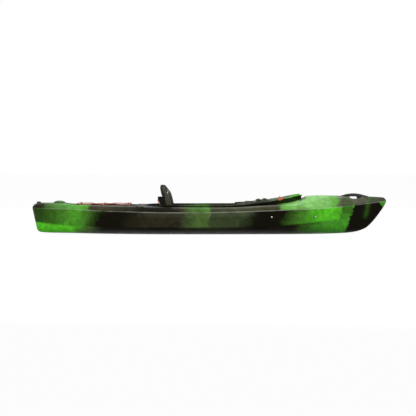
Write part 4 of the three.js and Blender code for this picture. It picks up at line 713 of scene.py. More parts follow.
def paddle_rest(side):
    crest = smooth([(-0.5, 0), (-0.42, 0.55), (-0.2, 1), (-0.08, 0.62), (0.08, 0.62), (0.2, 1.2),
                    (0.45, 0.95), (0.5, 0)])
    low = rim_z(RESTS_X) + 4
    rings = []
    for i in range(61):
        share = i / 60 - 0.5
        top = max(crest(share) * 17, 0.4)
        half, r = 23, min(4, top * 0.8)
        eighths = [pi / 8 * k for k in range(5)]
        profile = [(-half, -6), (-half, top - r)]
        profile += [(-half + r - r * cos(a), top - r + r * sin(a)) for a in eighths[1:]]
        profile += [(half - r + r * sin(a), top - r + r * cos(a)) for a in eighths[:4]]
        profile += [(half, top - r), (half, -6)]
        rings.append([(RESTS_X + 104 * share, side * RESTS_Y + y, low + z) for y, z in profile])
    return loft("rest", rings)


def plate_seat(low):
    """A raised flat with round corners, from a depth in the dash to 5 mm above it."""
    outline = [(copysign(27, cos(a)) + 16 * cos(a),
                copysign(22, sin(a)) + 16 * sin(a)) for a in angles_round(48)]
    return loft("plate_seat", [
        [(PLATE_X + x * (1 + out / 40), PLATE_Y + y * (1 + out / 40), dash_top(PLATE_X) + up)
         for x, y in outline] for out, up in ((0, low), (0, 3.4), (-0.5, 4.5), (-1.8, 5))])


print("the hump stands", round(HUMP_TOP - height_at(HUMP_X, 0), 1), "mm over the stern deck")

# %% [markdown]
# Bolts, drain, rod holders and brace screws go through the hull, each with 0.3 mm of play. A hole
# is a closed cylinder that is cut out. The screws of the foot braces come through the side, whose
# breadth at a height is read off the section.

# %% Holes for what is fastened to the hull
def tube(name, radius, place, turn, low, high, steps=32):
    return loft(name, [
        [tuple(turn @ Vector((radius * cos(a), radius * sin(a), z)) + Vector(place))
         for a in angles_round(steps)] for z in (low, high)])


UPRIGHT, ACROSS = Matrix.Identity(3), Matrix.Rotation(pi / 2, 3, "X")


def rod_turn(side):
    """A rod leans back by 30 degrees and out by 7."""
    return Euler((-side * radians(7), -radians(30), 0)).to_matrix()


def side_width(x, z, inset):
    half = moved_in(half_section(x), inset)
    for (y0, z0), (y1, z1) in zip(half[1:], half[2:]):
        if z0 <= z <= z1:
            return mixed(y0, y1, (z - z0) / (z1 - z0))
    return half[0][0]


def fitting_holes():
    made = [tube("hole", 3.3, (x, 0, height_at(x, 0)), UPRIGHT, -40, 40, 20) for x in HANDLE_BOLTS]
    made.append(tube("hole", 13.3, (DRAIN_X, 0, height_at(DRAIN_X, 0)), UPRIGHT, -30, 30, 40))
    for side in (-1, 1):
        place = (ROD_X, side * ROD_Y, height_at(ROD_X, ROD_Y))
        made.append(tube("hole", 24.3, place, rod_turn(side), -60, 60, 48))
        for x in BRACE_SCREWS_X:
            place = (x, side * side_width(x, BRACE_Z, WALL / 2), BRACE_Z)
            made.append(tube("hole", 3.3, place, ACROSS, -14, 14, 20))
    return made


print("side of the hull at the rear brace screw:", round(side_width(BRACE_SCREWS_X[0], BRACE_Z, 0), 1), "mm")

# %% [markdown]
# Now the mould closes. Outside: body, rim, dash, hump, rests and plate seat. Inside: body, the room
# under rim and dash, less the walls of the pockets. What is left between them is the shell, and the
# cockpit is opened last.

# %% Join, hollow and open the hull
def opening(name, top):
    """The room inside the rim as a closed block, up to a height that top gives at x."""
    keep = []
    for x, y, nx, ny in with_normals(plan, fan=0):
        px, py = x - nx * WALL, y - ny * WALL
        near = min(hypot(px - qx, py - qy) for qx, qy in plan)
        if near >= WALL * 0.97 and (py * y > 0 or y == 0):
            keep.append((px, py))
    count = len(keep)
    points = [(x, y, 110) for x, y in keep] + [(x, y, top(x)) for x, y in keep]
    faces = [tuple(range(count))]
    faces += [(i, (i + 1) % count, (i + 1) % count + count, i + count) for i in range(count)]
    return piece(name, points, faces + cap(count, count))


shell = combine(outside, "UNION", rim, dash, hump(), paddle_rest(-1), paddle_rest(1), plate_seat(-8))
under_dash = combine(dash_body("under_dash", WALL, 0.01), "INTERSECT", region(WALL))
inside = combine(inside, "UNION", opening("under_rim", lambda x: rim_z(x) - WALL), under_dash)
inside = combine(inside, "DIFFERENCE", *pockets(WALL), plate_seat(-20))
shell = combine(shell, "DIFFERENCE", *pockets(0), inside)
cockpit = combine(opening("cockpit", lambda x: ABOVE), "DIFFERENCE", region(0))
shell = combine(shell, "DIFFERENCE", cockpit, *fitting_holes())
places = np.array([v.co for v in shell.data.vertices])
print("hull shell", len(shell.data.polygons), "faces, from", places.min(0).round(4), "to",
      places.max(0).round(4))

# %% [markdown]
# The hull's material is rotomoulded polyethylene. Coloured powder is thrown into a hot mould and
# melts against its wall, so two colours meet in fringed clouds rather than on a line. The boat is
# green at both ends and amidships and black between. Two colour ramps along the length hold the
# order of the colours, one for the sides and one for the deck, and noise bends where each begins.
# The deck's colours are also paler and greyer than the sides', which is painted sheen.
# The surface is satin, with the fine orange peel that the powder leaves.

# %% Smooth faces, and an attribute that tells deck from side
def smooth_by_angle(thing, degrees):
    mesh = thing.data
    mesh.polygons.foreach_set("use_smooth", [True] * len(mesh.polygons))
    mesh.set_sharp_from_angle(angle=radians(degrees))
    return thing


def finish(thing, material, body, slot, *nodes):
    """Gives a piece its one material and its body, and hides the CAD nodes it stands for; slot is not used.
    """
    thing.data.materials.clear()
    thing.data.materials.append(material)
    thing.data.polygons.foreach_set("material_index", [0] * len(thing.data.polygons))
    if nodes:
        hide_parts(*nodes)
    if body:
        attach(thing, body)
    print(thing.name, len(thing.data.polygons), "faces")
    return thing


smooth_by_angle(shell, 28)
x_run, y_run, z_run = places.T
facing = np.array([v.normal for v in shell.data.vertices])


def line_on_hull(value, xs=range(-1530, 1531, 10)):
    """A line of the hull, worked out at some places along it, at every point of the shell."""
    return np.interp(x_run, np.array(xs) * MM, [value(x) for x in xs])


def share_of_deck(table):
    return lambda x: DECK * MM * table(x / LENGTH)


def rising(values, width):
    """Goes from 0 to 1 as values go from 0 to a width."""
    return np.clip(values / width, 0, 1)


# %% Zones of colour, painted highlight and painted shade on the shell
gunwale_line = line_on_hull(share_of_deck(gunwale_at))
chine_line = line_on_hull(share_of_deck(chine_height_at))
rim_line = line_on_hull(share_of_deck(rim_height_at))
rim_side = line_on_hull(lambda x: (rim_half(x) if REAR < x < FRONT else 0) * MM, range(-560, 806))
above = z_run - gunwale_line
near_rim = (x_run > -0.57) & (x_run < 0.812) & (np.abs(y_run) < rim_side + 0.019)
zones = {
    "deck": rising(above, 0.012),
    "bilge": rising(chine_line + 0.004 - z_run, 0.012),
    # Painted highlight along the gunwale crease, and amidships a broad band of painted sheen under it.
    "gunwale": np.clip(np.maximum(
        1 - np.abs(above - 0.003) / 0.005,
        (0.24 - np.abs(above + 0.014) / 0.09) * (np.abs(x_run + 0.12) < 0.5)), 0, 1),
    "lip": near_rim * rising(z_run - rim_line + 0.012, 0.003) * (x_run > 0.2),
    # Painted shade over the stern hump, darkest in a low band where the shadow of a groove falls.
    "hump": ((x_run < -1.246) * (x_run > -1.347) * (np.abs(y_run) < 0.09) * (z_run > 0.263)
             * np.where(z_run < 0.276, 0.9, 0.5)),
    # Painted shade: the shadowed wall under the lip, and the shadowed step between rim and foredeck.
    "shade": np.maximum(
        near_rim * (z_run < rim_line - 0.0088) * (z_run > gunwale_line) * (x_run > 0.1) * 0.9,
        (x_run > 0.76) * (x_run < 0.856) * rising(-facing[:, 0] - 0.2, 0.25) * (z_run > gunwale_line)),
    "nose": rising(x_run - 1.459 - 0.9 * (0.27 - z_run), 0.006) * (z_run < gunwale_line + 0.004),
    "streak": (np.exp(-((x_run - 1.352 - 0.2 * (z_run - 0.2)) / 0.02) ** 2)
               * rising(z_run - 0.12, 0.05) * 0.5),
    "blot": ((x_run > 1.135) & (x_run < 1.222) & (z_run > 0.178)) * 0.55}
for name, values in zones.items():
    shell.data.attributes.new(name, "FLOAT", "POINT").data.foreach_set("value", values.astype(np.float32))
print("marked", ", ".join(zones), "on", len(places), "points")

# %% [markdown]
# The order of the clouds is a property of this boat, as the grain is of a plank. Four ramps hold it
# from stern to bow: for the sides, for the bilge below the chine, for the deck and for the lip of
# the rim. The deck and lip ramps are paler and greyer than the sides, which is painted sheen on the
# upward faces, and a grey patch on the sides amidships is painted sheen too. A few shades are named,
# because they come back again and again.

# %% The order of the colours from stern to bow
LIME, LEAF, MOSS, PINE = "57be29", "4a8f28", "3e6c22", "2a4716"
# SHEEN_GREY is painted sheen: a paler patch on the black sides under the gunwale amidships.
OLIVE, SMOKE, SHEEN_GREY, PITCH, INK = "4a6430", "364128", "2b281b", "110f06", "050402"
# Shades of the deck with painted sheen in them, paler and greyer than the same plastic on the sides.
PALE_SHEEN, LEAF_WITH_SHEEN, BLACK_WITH_SHEEN = "7ab561", "5a9c3c", "322f21"


def along(*stops):
    """Colour stops at places in pixels of a picture 416 wide, as shares of the boat's length."""
    return [((px - 32.2) / 354.8, shade) for px, shade in stops]


SIDE = along(
    (33, PINE), (46, PINE), (60, MOSS), (74, LEAF), (86, LEAF), (93, MOSS), (99, PINE), (106, PITCH),
    (126, PITCH), (150, SHEEN_GREY),
    (180, SHEEN_GREY), (186, SMOKE), (199, OLIVE), (210, OLIVE), (215, SMOKE), (245, SMOKE), (258, PITCH),
    (284, PITCH), (291, PINE),
    (299, MOSS), (307, LEAF), (318, LIME), (340, LIME), (342.5, LEAF), (351.5, LEAF), (352.3, PITCH),
    (386, PITCH))
BILGE = along(
    (33, LEAF), (44, LIME), (81, LIME), (88, LEAF), (97, OLIVE), (105, SMOKE), (113, PITCH), (152, PITCH),
    (161, INK), (174, INK),
    (184, PITCH), (202, "1b1c0b"), (220, "1b1c0b"), (252, PITCH), (266, INK), (280, PITCH), (298, PITCH),
    (304, "2a3f16"),
    (313, "386a20"), (322, "40812a"), (332, "4a9a2c"), (351.5, "4c9c2e"), (352.3, PITCH), (386, PITCH))
TOP_WITH_SHEEN = along(
    (33, PITCH), (45, BLACK_WITH_SHEEN), (47.5, "41592f"), (56, "4b7536"), (68, "579543"), (76, LEAF_WITH_SHEEN), (89, LEAF),
    (93, "3a3828"), (120, BLACK_WITH_SHEEN), (140, PITCH),
    (176, PITCH), (182, BLACK_WITH_SHEEN), (190, "3e5e28"), (207, "47722d"), (213, "35381f"), (240, "3b3c2b"),
    (276, "34341f"), (281, LEAF_WITH_SHEEN),
    (300, PALE_SHEEN), (325, PALE_SHEEN), (332, LEAF_WITH_SHEEN), (337.5, LEAF_WITH_SHEEN), (339, "5a5b4a"), (352, "56574a"),
    (386, "3c3d31"))
RIM_LIP_WITH_SHEEN = along(
    (230, BLACK_WITH_SHEEN), (245, "45473a"), (262, "2f3024"), (272, "5f6751"), (286, "66765a"), (293, "5c9a3e"),
    (302, LIME), (386, LIME))
print("colour stops:", len(SIDE), "on the sides,", len(BILGE), "on the bilge and", len(TOP_WITH_SHEEN), "on deck")

# %% [markdown]
# Two noises bend the place along the hull before a ramp reads it: large clouds, and a fine fringe
# that frays their borders. On the sides the borders lean, as the powder slid while the mould turned.
# The zones marked above then choose between the ramps, and lay five small marks over them: three
# are colours of the plastic and two are painted shade.

# %% Marbled polyethylene
marbled, tree, out = blank("rotomoulded_polyethylene_marbled")
where = add(tree, "TexCoord").outputs["Object"]
cloud = add(tree, "TexNoise", {"Scale": 4.5, "Detail": 6.0, "Roughness": 0.62, "Distortion": 0.8},
            {"Vector": where})
fringe = add(tree, "TexNoise", {"Scale": 48.0, "Detail": 5.0, "Roughness": 0.7}, {"Vector": where})
axes = add(tree, "SeparateXYZ", links={0: where})
slant = add(tree, "Math", {"operation": "MULTIPLY_ADD", 1: -0.3, 2: 0.069}, {0: axes.outputs["Z"]})
run = add(tree, "Math", {"operation": "ADD"}, {0: axes.outputs["X"], 1: slant})
ahead = add(tree, "MapRange", {1: 1.1, 2: 1.2, 3: 0.2, 4: 0.02}, {0: axes.outputs["X"]})
swing = add(tree, "Math", {"operation": "SUBTRACT", 1: 0.5}, {0: cloud})
shift = add(tree, "Math", {"operation": "MULTIPLY"}, {0: swing, 1: ahead})
swing2 = add(tree, "Math", {"operation": "SUBTRACT", 1: 0.5}, {0: fringe})
shift2 = add(tree, "Math", {"operation": "MULTIPLY_ADD", 1: 0.1}, {0: swing2, 2: shift})
places_in_ramp = []
for line in (run.outputs[0], axes.outputs["X"]):
    bent = add(tree, "Math", {"operation": "ADD"}, {0: line, 1: shift2})
    places_in_ramp.append(add(tree, "MapRange", {1: -1.533, 2: 1.533}, {0: bent}).outputs[0])
side_tone = add(tree, "ValToRGB", {"stops": SIDE}, {0: places_in_ramp[0]})
bilge_tone = add(tree, "ValToRGB", {"stops": BILGE}, {0: places_in_ramp[0]})
top_tone_with_sheen = add(tree, "ValToRGB", {"stops": TOP_WITH_SHEEN}, {0: places_in_ramp[1]})
is_bilge = add(tree, "Attribute", {"attribute_name": "bilge"})
is_deck = add(tree, "Attribute", {"attribute_name": "deck"})
low_tone = add(tree, "Mix", links={0: is_bilge, 6: side_tone, 7: bilge_tone})
tone = add(tree, "Mix", links={0: is_deck, 6: low_tone, 7: top_tone_with_sheen})
lip_tone_with_sheen = add(tree, "ValToRGB", {"stops": RIM_LIP_WITH_SHEEN}, {0: places_in_ramp[1]})
is_lip = add(tree, "Attribute", {"attribute_name": "lip"})
tone = add(tree, "Mix", links={0: is_lip, 6: tone, 7: lip_tone_with_sheen})
# nose, streak and blot are colours of the plastic; hump and shade lay painted shade.
for zone, shade in (("nose", LEAF), ("streak", MOSS), ("blot", PINE), ("hump", "24380f"),
                    ("shade", "12130a")):
    is_zone = add(tree, "Attribute", {"attribute_name": zone})
    tone = add(tree, "Mix", {7: colour(shade)}, {0: is_zone, 6: tone})

# %% [markdown]
# Up close the plastic is not even: wisps of the other powder, a speckle of unmelted grains, and a
# satin that varies with wear. A pale, patchy painted highlight runs along the gunwale crease, with
# painted sheen under it amidships.
# The orange peel is about 4 mm wide and only 0.1 mm deep, so it is a bump and not a shape.

# %% Wisps, speckle, the painted highlight on the gunwale, the satin and the orange peel
wisp = add(tree, "TexNoise", {"Scale": 11.0, "Detail": 7.0, "Roughness": 0.68, "Distortion": 1.2},
           {"Vector": where})
wisp_tone = add(tree, "MapRange", {1: 0.3, 2: 0.7, 3: 0.62, 4: 1.28}, {0: wisp})
speck = add(tree, "TexNoise", {"Scale": 130.0, "Detail": 5.0, "Roughness": 0.7}, {"Vector": where})
speck_tone = add(tree, "MapRange", {1: 0.3, 2: 0.7, 3: 0.74, 4: 1.24}, {0: speck})
depth = add(tree, "Math", {"operation": "MULTIPLY"}, {0: wisp_tone, 1: speck_tone})
cloudy = add(tree, "VectorMath", {"operation": "SCALE"}, {0: tone, "Scale": depth})
# Painted highlight and sheen along the gunwale, in a pale grey made patchy by a noise.
is_gunwale_highlight = add(tree, "Attribute", {"attribute_name": "gunwale"})
rub = add(tree, "TexNoise", {"Scale": 3.0, "Detail": 6.0, "Roughness": 0.7}, {"Vector": where})
rubbed = add(tree, "MapRange", {1: 0.4, 2: 0.58, 3: 0.04, 4: 0.6}, {0: rub})
gunwale_highlight_share = add(tree, "Math", {"operation": "MULTIPLY"}, {0: is_gunwale_highlight, 1: rubbed})
surface = add(tree, "Mix", {7: colour("a9ab9d")}, {0: gunwale_highlight_share, 6: cloudy})
wear = add(tree, "TexNoise", {"Scale": 14.0, "Detail": 6.0, "Roughness": 0.6}, {"Vector": where})
satin = add(tree, "MapRange", {1: 0.3, 2: 0.7, 3: 0.34, 4: 0.5}, {0: wear})
peel = add(tree, "TexNoise", {"Scale": 260.0, "Detail": 3.0, "Roughness": 0.55}, {"Vector": where})
soft_edge = add(tree, "Bevel", {"samples": 4, "Radius": 0.003})
bump = add(tree, "Bump", {"Strength": 0.22, "Distance": 0.0006},
           {"Height": peel, "Normal": soft_edge})
plastic = add(tree, "BsdfPrincipled", {"IOR": 1.5, "Specular IOR Level": 0.03}, {
    "Base Color": surface, "Roughness": satin, "Normal": bump})
tree.links.new(plastic.outputs[0], out.inputs["Surface"])
finish(shell, marbled, "hull", "hull", "hull_shell")

# %% [markdown]
# The small hard fittings are injection moulded in glass-filled nylon: near black, satin, with a very
# fine grain from the tool's spark-eroded faces, and paler on edges that hands and paddles rub. The
# same recipe in orange is for the hooks and levers, which one must find in a hurry, and in a sun
# bleached grey for the knob of the drain plug.

# %% Nylon in black, orange and grey
def nylon(name, shade, worn):
    material, tree, out = blank(name)
    where = add(tree, "TexCoord").outputs["Object"]
    grain = add(tree, "TexNoise", {"Scale": 900.0, "Detail": 2.0}, {"Vector": where})
    patch = add(tree, "TexNoise", {"Scale": 40.0, "Detail": 5.0, "Roughness": 0.65}, {"Vector": where})
    edge = add(tree, "NewGeometry").outputs["Pointiness"]
    rub = add(tree, "MapRange", {1: 0.52, 2: 0.6, 3: 0.0, 4: 0.5}, {0: edge})
    rubbed = add(tree, "Math", {"operation": "MULTIPLY"}, {0: rub, 1: patch})
    tone = add(tree, "Mix", {6: colour(shade), 7: colour(worn)}, {0: rubbed})
    satin = add(tree, "MapRange", {1: 0.3, 2: 0.7, 3: 0.38, 4: 0.55}, {0: patch})
    soft = add(tree, "Bevel", {"samples": 4, "Radius": 0.0008})
    bump = add(tree, "Bump", {"Strength": 0.2, "Distance": 0.0002},
               {"Height": grain, "Normal": soft})
    plastic = add(tree, "BsdfPrincipled", {"IOR": 1.53, "Specular IOR Level": 0.4},
                  {"Base Color": tone, "Roughness": satin, "Normal": bump})
    tree.links.new(plastic.outputs[0], out.inputs["Surface"])
    return material


black_nylon = nylon("moulded_nylon_black", "1b1b19", "4a4a46")
orange_nylon = nylon("moulded_nylon_orange", "c9561f", "d27a38")
grey_nylon = nylon("moulded_nylon_grey", "66665e", "8a8a80")


SIDES = {"starboard": -1, "port": 1}


def dress(material, *nodes):
    for node in nodes:
        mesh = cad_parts[node].data
        if not mesh.materials:
            mesh.materials.append(material)
        for i in range(len(mesh.materials)):
            mesh.materials[i] = material


for side_name in SIDES:
    dress(black_nylon, f"foot_rail_{side_name}", f"foot_pedal_{side_name}", f"strap_anchor_{side_name}")
    dress(orange_nylon, f"pedal_lever_{side_name}")
dress(black_nylon, "drain_bush", "accessory_plate")
print("dressed the nylon parts that stay as the model has them")

# %% [markdown]
# The drain plug at the stern is a screw with a low, domed knob that fingers grip by its notches. It
# is turned like a pot: rings of the radii of its profile, of which the wide ones dip at each notch.

# %% Drain plug
KNOB_FOOT_Z, NOTCHES, NOTCH_DEEP = 273.84, 8, 0.08
KNOB = ((9.4, -20), (9.7, -19.6), (9.7, 0), (17.6, 0), (18.6, 0.8), (18.7, 2), (17.6, 4), (14.5, 5.8),
        (9.5, 7), (4, 7.5), (0.8, 7.6))


def drain_knob():
    rings = []
    for radius, z in KNOB:
        ring = []
        for a in angles_round(64, 0):
            deep = NOTCH_DEEP if radius > 17 else 0
            r = radius * (1 - deep * max(0, cos(NOTCHES * a)) ** 4)
            ring.append((DRAIN_X + r * cos(a), r * sin(a), KNOB_FOOT_Z + z))
        rings.append(ring)
    return loft("drain_plug_knob", rings)


finish(smooth_by_angle(drain_knob(), 50), grey_nylon, "drain_knob", "black_plastic", "drain_plug")

# %% [markdown]
# Screws and bolts are stainless steel, turned and a little dull from salt and sun. The screws of the
# foot braces go through the side of the hull over a dark rubber washer: a pale dot in a dark ring.
# Their heads point along Y, so the distance from each screw's own axis tells head from washer.

# %% Stainless steel, and the brace screws with their washers
steel, tree, out = blank("stainless_steel_turned")
where = add(tree, "TexCoord").outputs["Object"]
grain = add(tree, "TexNoise", {"Scale": 1400.0, "Detail": 3.0}, {"Vector": where})
dull = add(tree, "MapRange", {1: 0.3, 2: 0.7, 3: 0.24, 4: 0.4}, {0: grain})
metal = add(tree, "BsdfPrincipled", {"Base Color": colour("c9c9c6"), "Metallic": 1.0}, {"Roughness": dull})
tree.links.new(metal.outputs[0], out.inputs["Surface"])
dress(steel, "handle_bolt_rear", "handle_bolt_front", "backrest_bolt_starboard", "backrest_bolt_port",
      *[f"plate_screw_{i}" for i in (1, 2, 3, 4)])


BRACE_TOE = atan2(0.22399, 0.97459)
HEAD_RADIUS, WASHER_FROM = 0.0062, 0.0066


def washered(end, side_name):
    """Steel within the head's radius of the screw's axis, black rubber outside it."""
    material, tree, out = blank(f"screw_and_washer_{end}_{side_name}")
    low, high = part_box(f"brace_screw_{end}_{side_name}")
    where = add(tree, "TexCoord").outputs["Object"]
    middle = tuple((low + high) / 2)
    axis = (sin(BRACE_TOE), SIDES[side_name] * cos(BRACE_TOE), 0)
    away = add(tree, "VectorMath", {"operation": "SUBTRACT", 1: middle}, {0: where})
    across = add(tree, "VectorMath", {"operation": "CROSS_PRODUCT", 1: axis}, {0: away})
    radius = add(tree, "VectorMath", {"operation": "LENGTH"}, {0: across})
    ring = add(tree, "MapRange", {1: HEAD_RADIUS, 2: WASHER_FROM}, {0: radius.outputs["Value"]})
    head = add(tree, "BsdfPrincipled", {"Base Color": colour("d4d2cd"), "Metallic": 1.0, "Roughness": 0.35})
    washer = add(tree, "BsdfPrincipled", {"Base Color": colour("141412"), "Roughness": 0.7})
    both = add(tree, "MixShader", links={0: ring, 1: head, 2: washer})
    tree.links.new(both.outputs[0], out.inputs["Surface"])
    return material


for side_name in SIDES:
    for end in ("rear", "front"):
        dress(washered(end, side_name), f"brace_screw_{end}_{side_name}")
print("dressed the steel, and the brace screws with their washers")

# %% [markdown]
# The bow handle is a thick soft rubber strap moulded over a webbing core: two flat feet bolted to
# the deck, an arch between them, and grip ribs across the middle. Its section changes along its
# length, so it is lofted from rounded sections between an upper and a lower curve. The rubber is
# near black and quite matt, with a grit one can feel and a film of dust.

# %% Bow handle
HANDLE_HALF, RIB_PITCH, RIB_HIGH = 118, 7, 0.7
handle_top = smooth([(-1, 3.4), (-0.92, 5), (-0.84, 9.2), (-0.7, 14), (-0.5, 19), (-0.13, 23.4), (0.2, 22),
                     (0.5, 16.5), (0.72, 10), (0.85, 5.8), (0.94, 4), (1, 3.4)])


def handle_section(t, x):
    """Lowest and highest point and half width at x, which is t of the way from middle to end."""
    deck = height_at(x, 0)
    top = deck + handle_top(t)
    near = min(1, abs(x - HANDLE_X) / DISH_RADIUS)
    recess = height_at(HANDLE_X, 0) - DISH_DEEP * sqrt(1 - near * near)
    low = 323 - 6 * max(0, (1225 - x) / 22) ** 2 - 22 * max(0, (x - 1260) / 16) ** 2
    low = max(low, min(deck, recess) + 0.4)
    half = mixed(14.6, 12.4, max(0, 1 - (abs(t) / 0.6) ** 2))
    half *= sqrt(max(0.02, 1 - max(0, (abs(t) - 0.93) / 0.075) ** 2))
    ribs = 0
    if abs(t) < 0.3:
        ribs = RIB_HIGH * (0.5 + 0.5 * cos(2 * pi * (x - HANDLE_X) / RIB_PITCH))
    return low, top - RIB_HIGH + ribs, half


handle_rings = []
for i in range(170):
    t = -0.998 + 1.996 * i / 169
    x = HANDLE_X + HANDLE_HALF * t
    low, top, half = handle_section(t, x)
    mid, tall = (low + top) / 2, (top - low) / 2
    corners = [squared(a, 3.4) for a in angles_round(28)]
    handle_rings.append([(x, half * c, mid + tall * s) for c, s in corners])
handle = loft("bow_handle_strap", handle_rings)
for x in HANDLE_BOLTS:
    deck = height_at(x, 0)
    handle = combine(handle, "DIFFERENCE", tube("hole", 7.1, (x, 0, deck + 6), UPRIGHT, 0, 30, 28),
                     tube("hole", 3.3, (x, 0, deck), UPRIGHT, -20, 20, 20))
smooth_by_angle(handle, 40)

soft_rubber, tree, out = blank("overmoulded_soft_rubber")
where = add(tree, "TexCoord").outputs["Object"]
grit = add(tree, "TexNoise", {"Scale": 700.0, "Detail": 3.0, "Roughness": 0.6}, {"Vector": where})
dust = add(tree, "TexNoise", {"Scale": 25.0, "Detail": 5.0}, {"Vector": where})
tone = add(tree, "Mix", {6: colour("141413"), 7: colour("2e2e2b")}, {0: dust})
bump = add(tree, "Bump", {"Strength": 0.25, "Distance": 0.0003}, {"Height": grit})
gum = add(tree, "BsdfPrincipled", {"IOR": 1.5, "Roughness": 0.62, "Specular IOR Level": 0.35},
          {"Base Color": tone, "Normal": bump})
tree.links.new(gum.outputs[0], out.inputs["Surface"])
finish(handle, soft_rubber, "hull", "rubber", "bow_handle")
dress(soft_rubber, "drain_gasket")

# %% [markdown]
# Six deck loops hold the bungee of the tankwell. They are one moulding repeated, so one is made with
# its round bar, foot and two screws, and Geometry Nodes set a copy on each of six points. Each point
# carries the slope of the deck under it as an attribute.

# %% Path and tube helpers
def sweep_rings(path, radius, count, start_up=(0, 0, 1)):
    """Rings square to a path of points; radius may be a function of the share of the way along."""
    path = [Vector(p) for p in path]
    up, rings = Vector(start_up), []
    for i, p in enumerate(path):
        ahead = (path[min(i + 1, len(path) - 1)] - p).normalized() + (p - path[max(i - 1, 0)]).normalized()
        ahead.normalize()
        side = ahead.cross(up).normalized()
        up = side.cross(ahead).normalized()
        r = radius(i / (len(path) - 1)) if callable(radius) else radius
        rings.append([tuple(p + side * (r * cos(a)) + up * (r * sin(a)))
                      for a in angles_round(count, 0)])
    return rings


def closed_cord(name, path, radius, count):
    return loft(name, sweep_rings(path + path[:1], radius, count)[:-1], closed=True)


def curve_through(points, steps=8):
    """A smooth path through points, by a centripetal blend of neighbours."""
    pts = [Vector(p) for p in points]
    pts = [pts[0] * 2 - pts[1]] + pts + [pts[-1] * 2 - pts[-2]]
    made = []
    for a, b, c, d in zip(pts, pts[1:], pts[2:], pts[3:]):
        ab, bc, cd = ((v - u).length ** 0.5 or 1e-6 for u, v in ((a, b), (b, c), (c, d)))
        m1 = (b - a) / ab - (c - a) / (ab + bc) + (c - b) / bc
        m2 = (c - b) / bc - (d - b) / (bc + cd) + (d - c) / cd
        m1, m2 = m1 * bc, m2 * bc
        for k in range(steps):
            t = k / steps
            made.append(b * (2 * t**3 - 3 * t**2 + 1) + m1 * (t**3 - 2 * t**2 + t)
                        + c * (3 * t**2 - 2 * t**3) + m2 * (t**3 - t**2))
    return made + [pts[-2]]


def tube_mesh(name, path, radius, count=14):
    """A closed round tube with a UV map: metres along the path, and the share of the way round."""
    rings = sweep_rings(path, radius, count)
    thing = loft(name, rings)
    run = [0.0]
    for a, b in zip(path, path[1:]):
        run.append(run[-1] + (Vector(b) - Vector(a)).length * MM)

    def key_of(point):
        return tuple((point * 1e6).round().astype(int))

    # Merging doubles may have changed the order of the points, so each is found by its place.
    keys = {key_of(np.array([c * MM for c in point])): i
            for i, point in enumerate(point for ring in rings for point in ring)}
    index = []
    for vertex in thing.data.vertices:
        key = key_of(np.array(vertex.co))
        if key not in keys:
            key = min(keys, key=lambda other: sum((a - b) ** 2 for a, b in zip(key, other)))
        index.append(keys[key])
    uv = thing.data.uv_layers.new(name="along")
    for polygon in thing.data.polygons:
        spots = [index[v] for v in polygon.vertices]
        rounds = [spot % count for spot in spots]
        wrap = max(rounds) - min(rounds) > count / 2
        for loop, spot, k in zip(polygon.loop_indices, spots, rounds):
            uv.data[loop].uv = (run[spot // count],
                                (k + (count if wrap and k < count / 2 else 0)) / count)
    return smooth_by_angle(thing, 40)


print("helpers for cords are ready")

# %% One deck loop
def join(name, *things):
    made = bmesh.new()
    for thing in things:
        made.from_mesh(thing.data)
        bpy.data.objects.remove(thing)
    mesh = bpy.data.meshes.new(name)
    made.to_mesh(mesh)
    made.free()
    return new_object(name, mesh)


def deck_loop():
    bar = [(0, -13 * cos(a), 4 + 9 * sin(a) ** 0.8) for a in (pi * k / 20 for k in range(21))]
    bar = [(0, -13, 1), *bar, (0, 13, 1)]
    arch = loft("arch", sweep_rings(bar, lambda s: 2.6 + 0.5 * abs(2 * s - 1) ** 4, 12, (1, 0, 0)))
    foot = loft("foot", [[(copysign(0.3, cos(a)) + (7.5 + out) * cos(a),
                           copysign(14, sin(a)) + (7.5 + out) * sin(a), up)
                          for a in angles_round(28)]
                         for out, up in ((0, 0.2), (0, 2.2), (-0.35, 2.8), (-1.1, 3))])
    heads = [loft("head", [[(r * cos(a), y + r * sin(a), z) for a in angles_round(14, 0)]
                           for r, z in ((3.2, 2.0), (3.2, 3.5), (2.8, 4.1), (1.8, 4.6), (0.7, 4.75))])
             for y in (-18.2, 18.2)]
    return join("deck_loop", arch, foot, *heads)


one_loop = smooth_by_angle(deck_loop(), 40)
print("one deck loop has", len(one_loop.data.polygons), "faces")

# %% A point for each loop, with the slope of the deck there
LOOPS_X, LOOP_OUT, LOOP_REACH = (-1120, -916, -712), 17, 15


def well_out(x):
    return well_half(x) + LOOP_OUT


spots, turns = [], []
for side in (-1, 1):
    for x in LOOPS_X:
        y = side * well_out(x)
        starboard, port = (height_at(x, y + step) for step in (-LOOP_REACH, LOOP_REACH))
        rise_y = (port - starboard) / (2 * LOOP_REACH)
        rise_x = (height_at(x + LOOP_REACH, y) - height_at(x - LOOP_REACH, y)) / (2 * LOOP_REACH)
        least = max(0, (starboard + port) / 2 - height_at(x, y))
        spots.append((x, y, height_at(x, y) + least + 0.3))
        turns.append((atan(rise_y), -atan(rise_x), 0))
loops = piece("deck_loops", spots, [])
slope = loops.data.attributes.new("slope", "FLOAT_VECTOR", "POINT")
slope.data.foreach_set("vector", [c for turn in turns for c in turn])
print("points for", len(spots), "loops")


# %% Geometry Nodes set a loop on each point
def geometry_tree(name, **inputs):
    group = bpy.data.node_groups.new(name, "GeometryNodeTree")
    for direction in ("INPUT", "OUTPUT"):
        group.interface.new_socket("Geometry", in_out=direction, socket_type="NodeSocketGeometry")
    for label, kind in inputs.items():
        group.interface.new_socket(label, in_out="INPUT", socket_type="NodeSocket" + kind)
    return group, add(group, "NodeGroupInput")


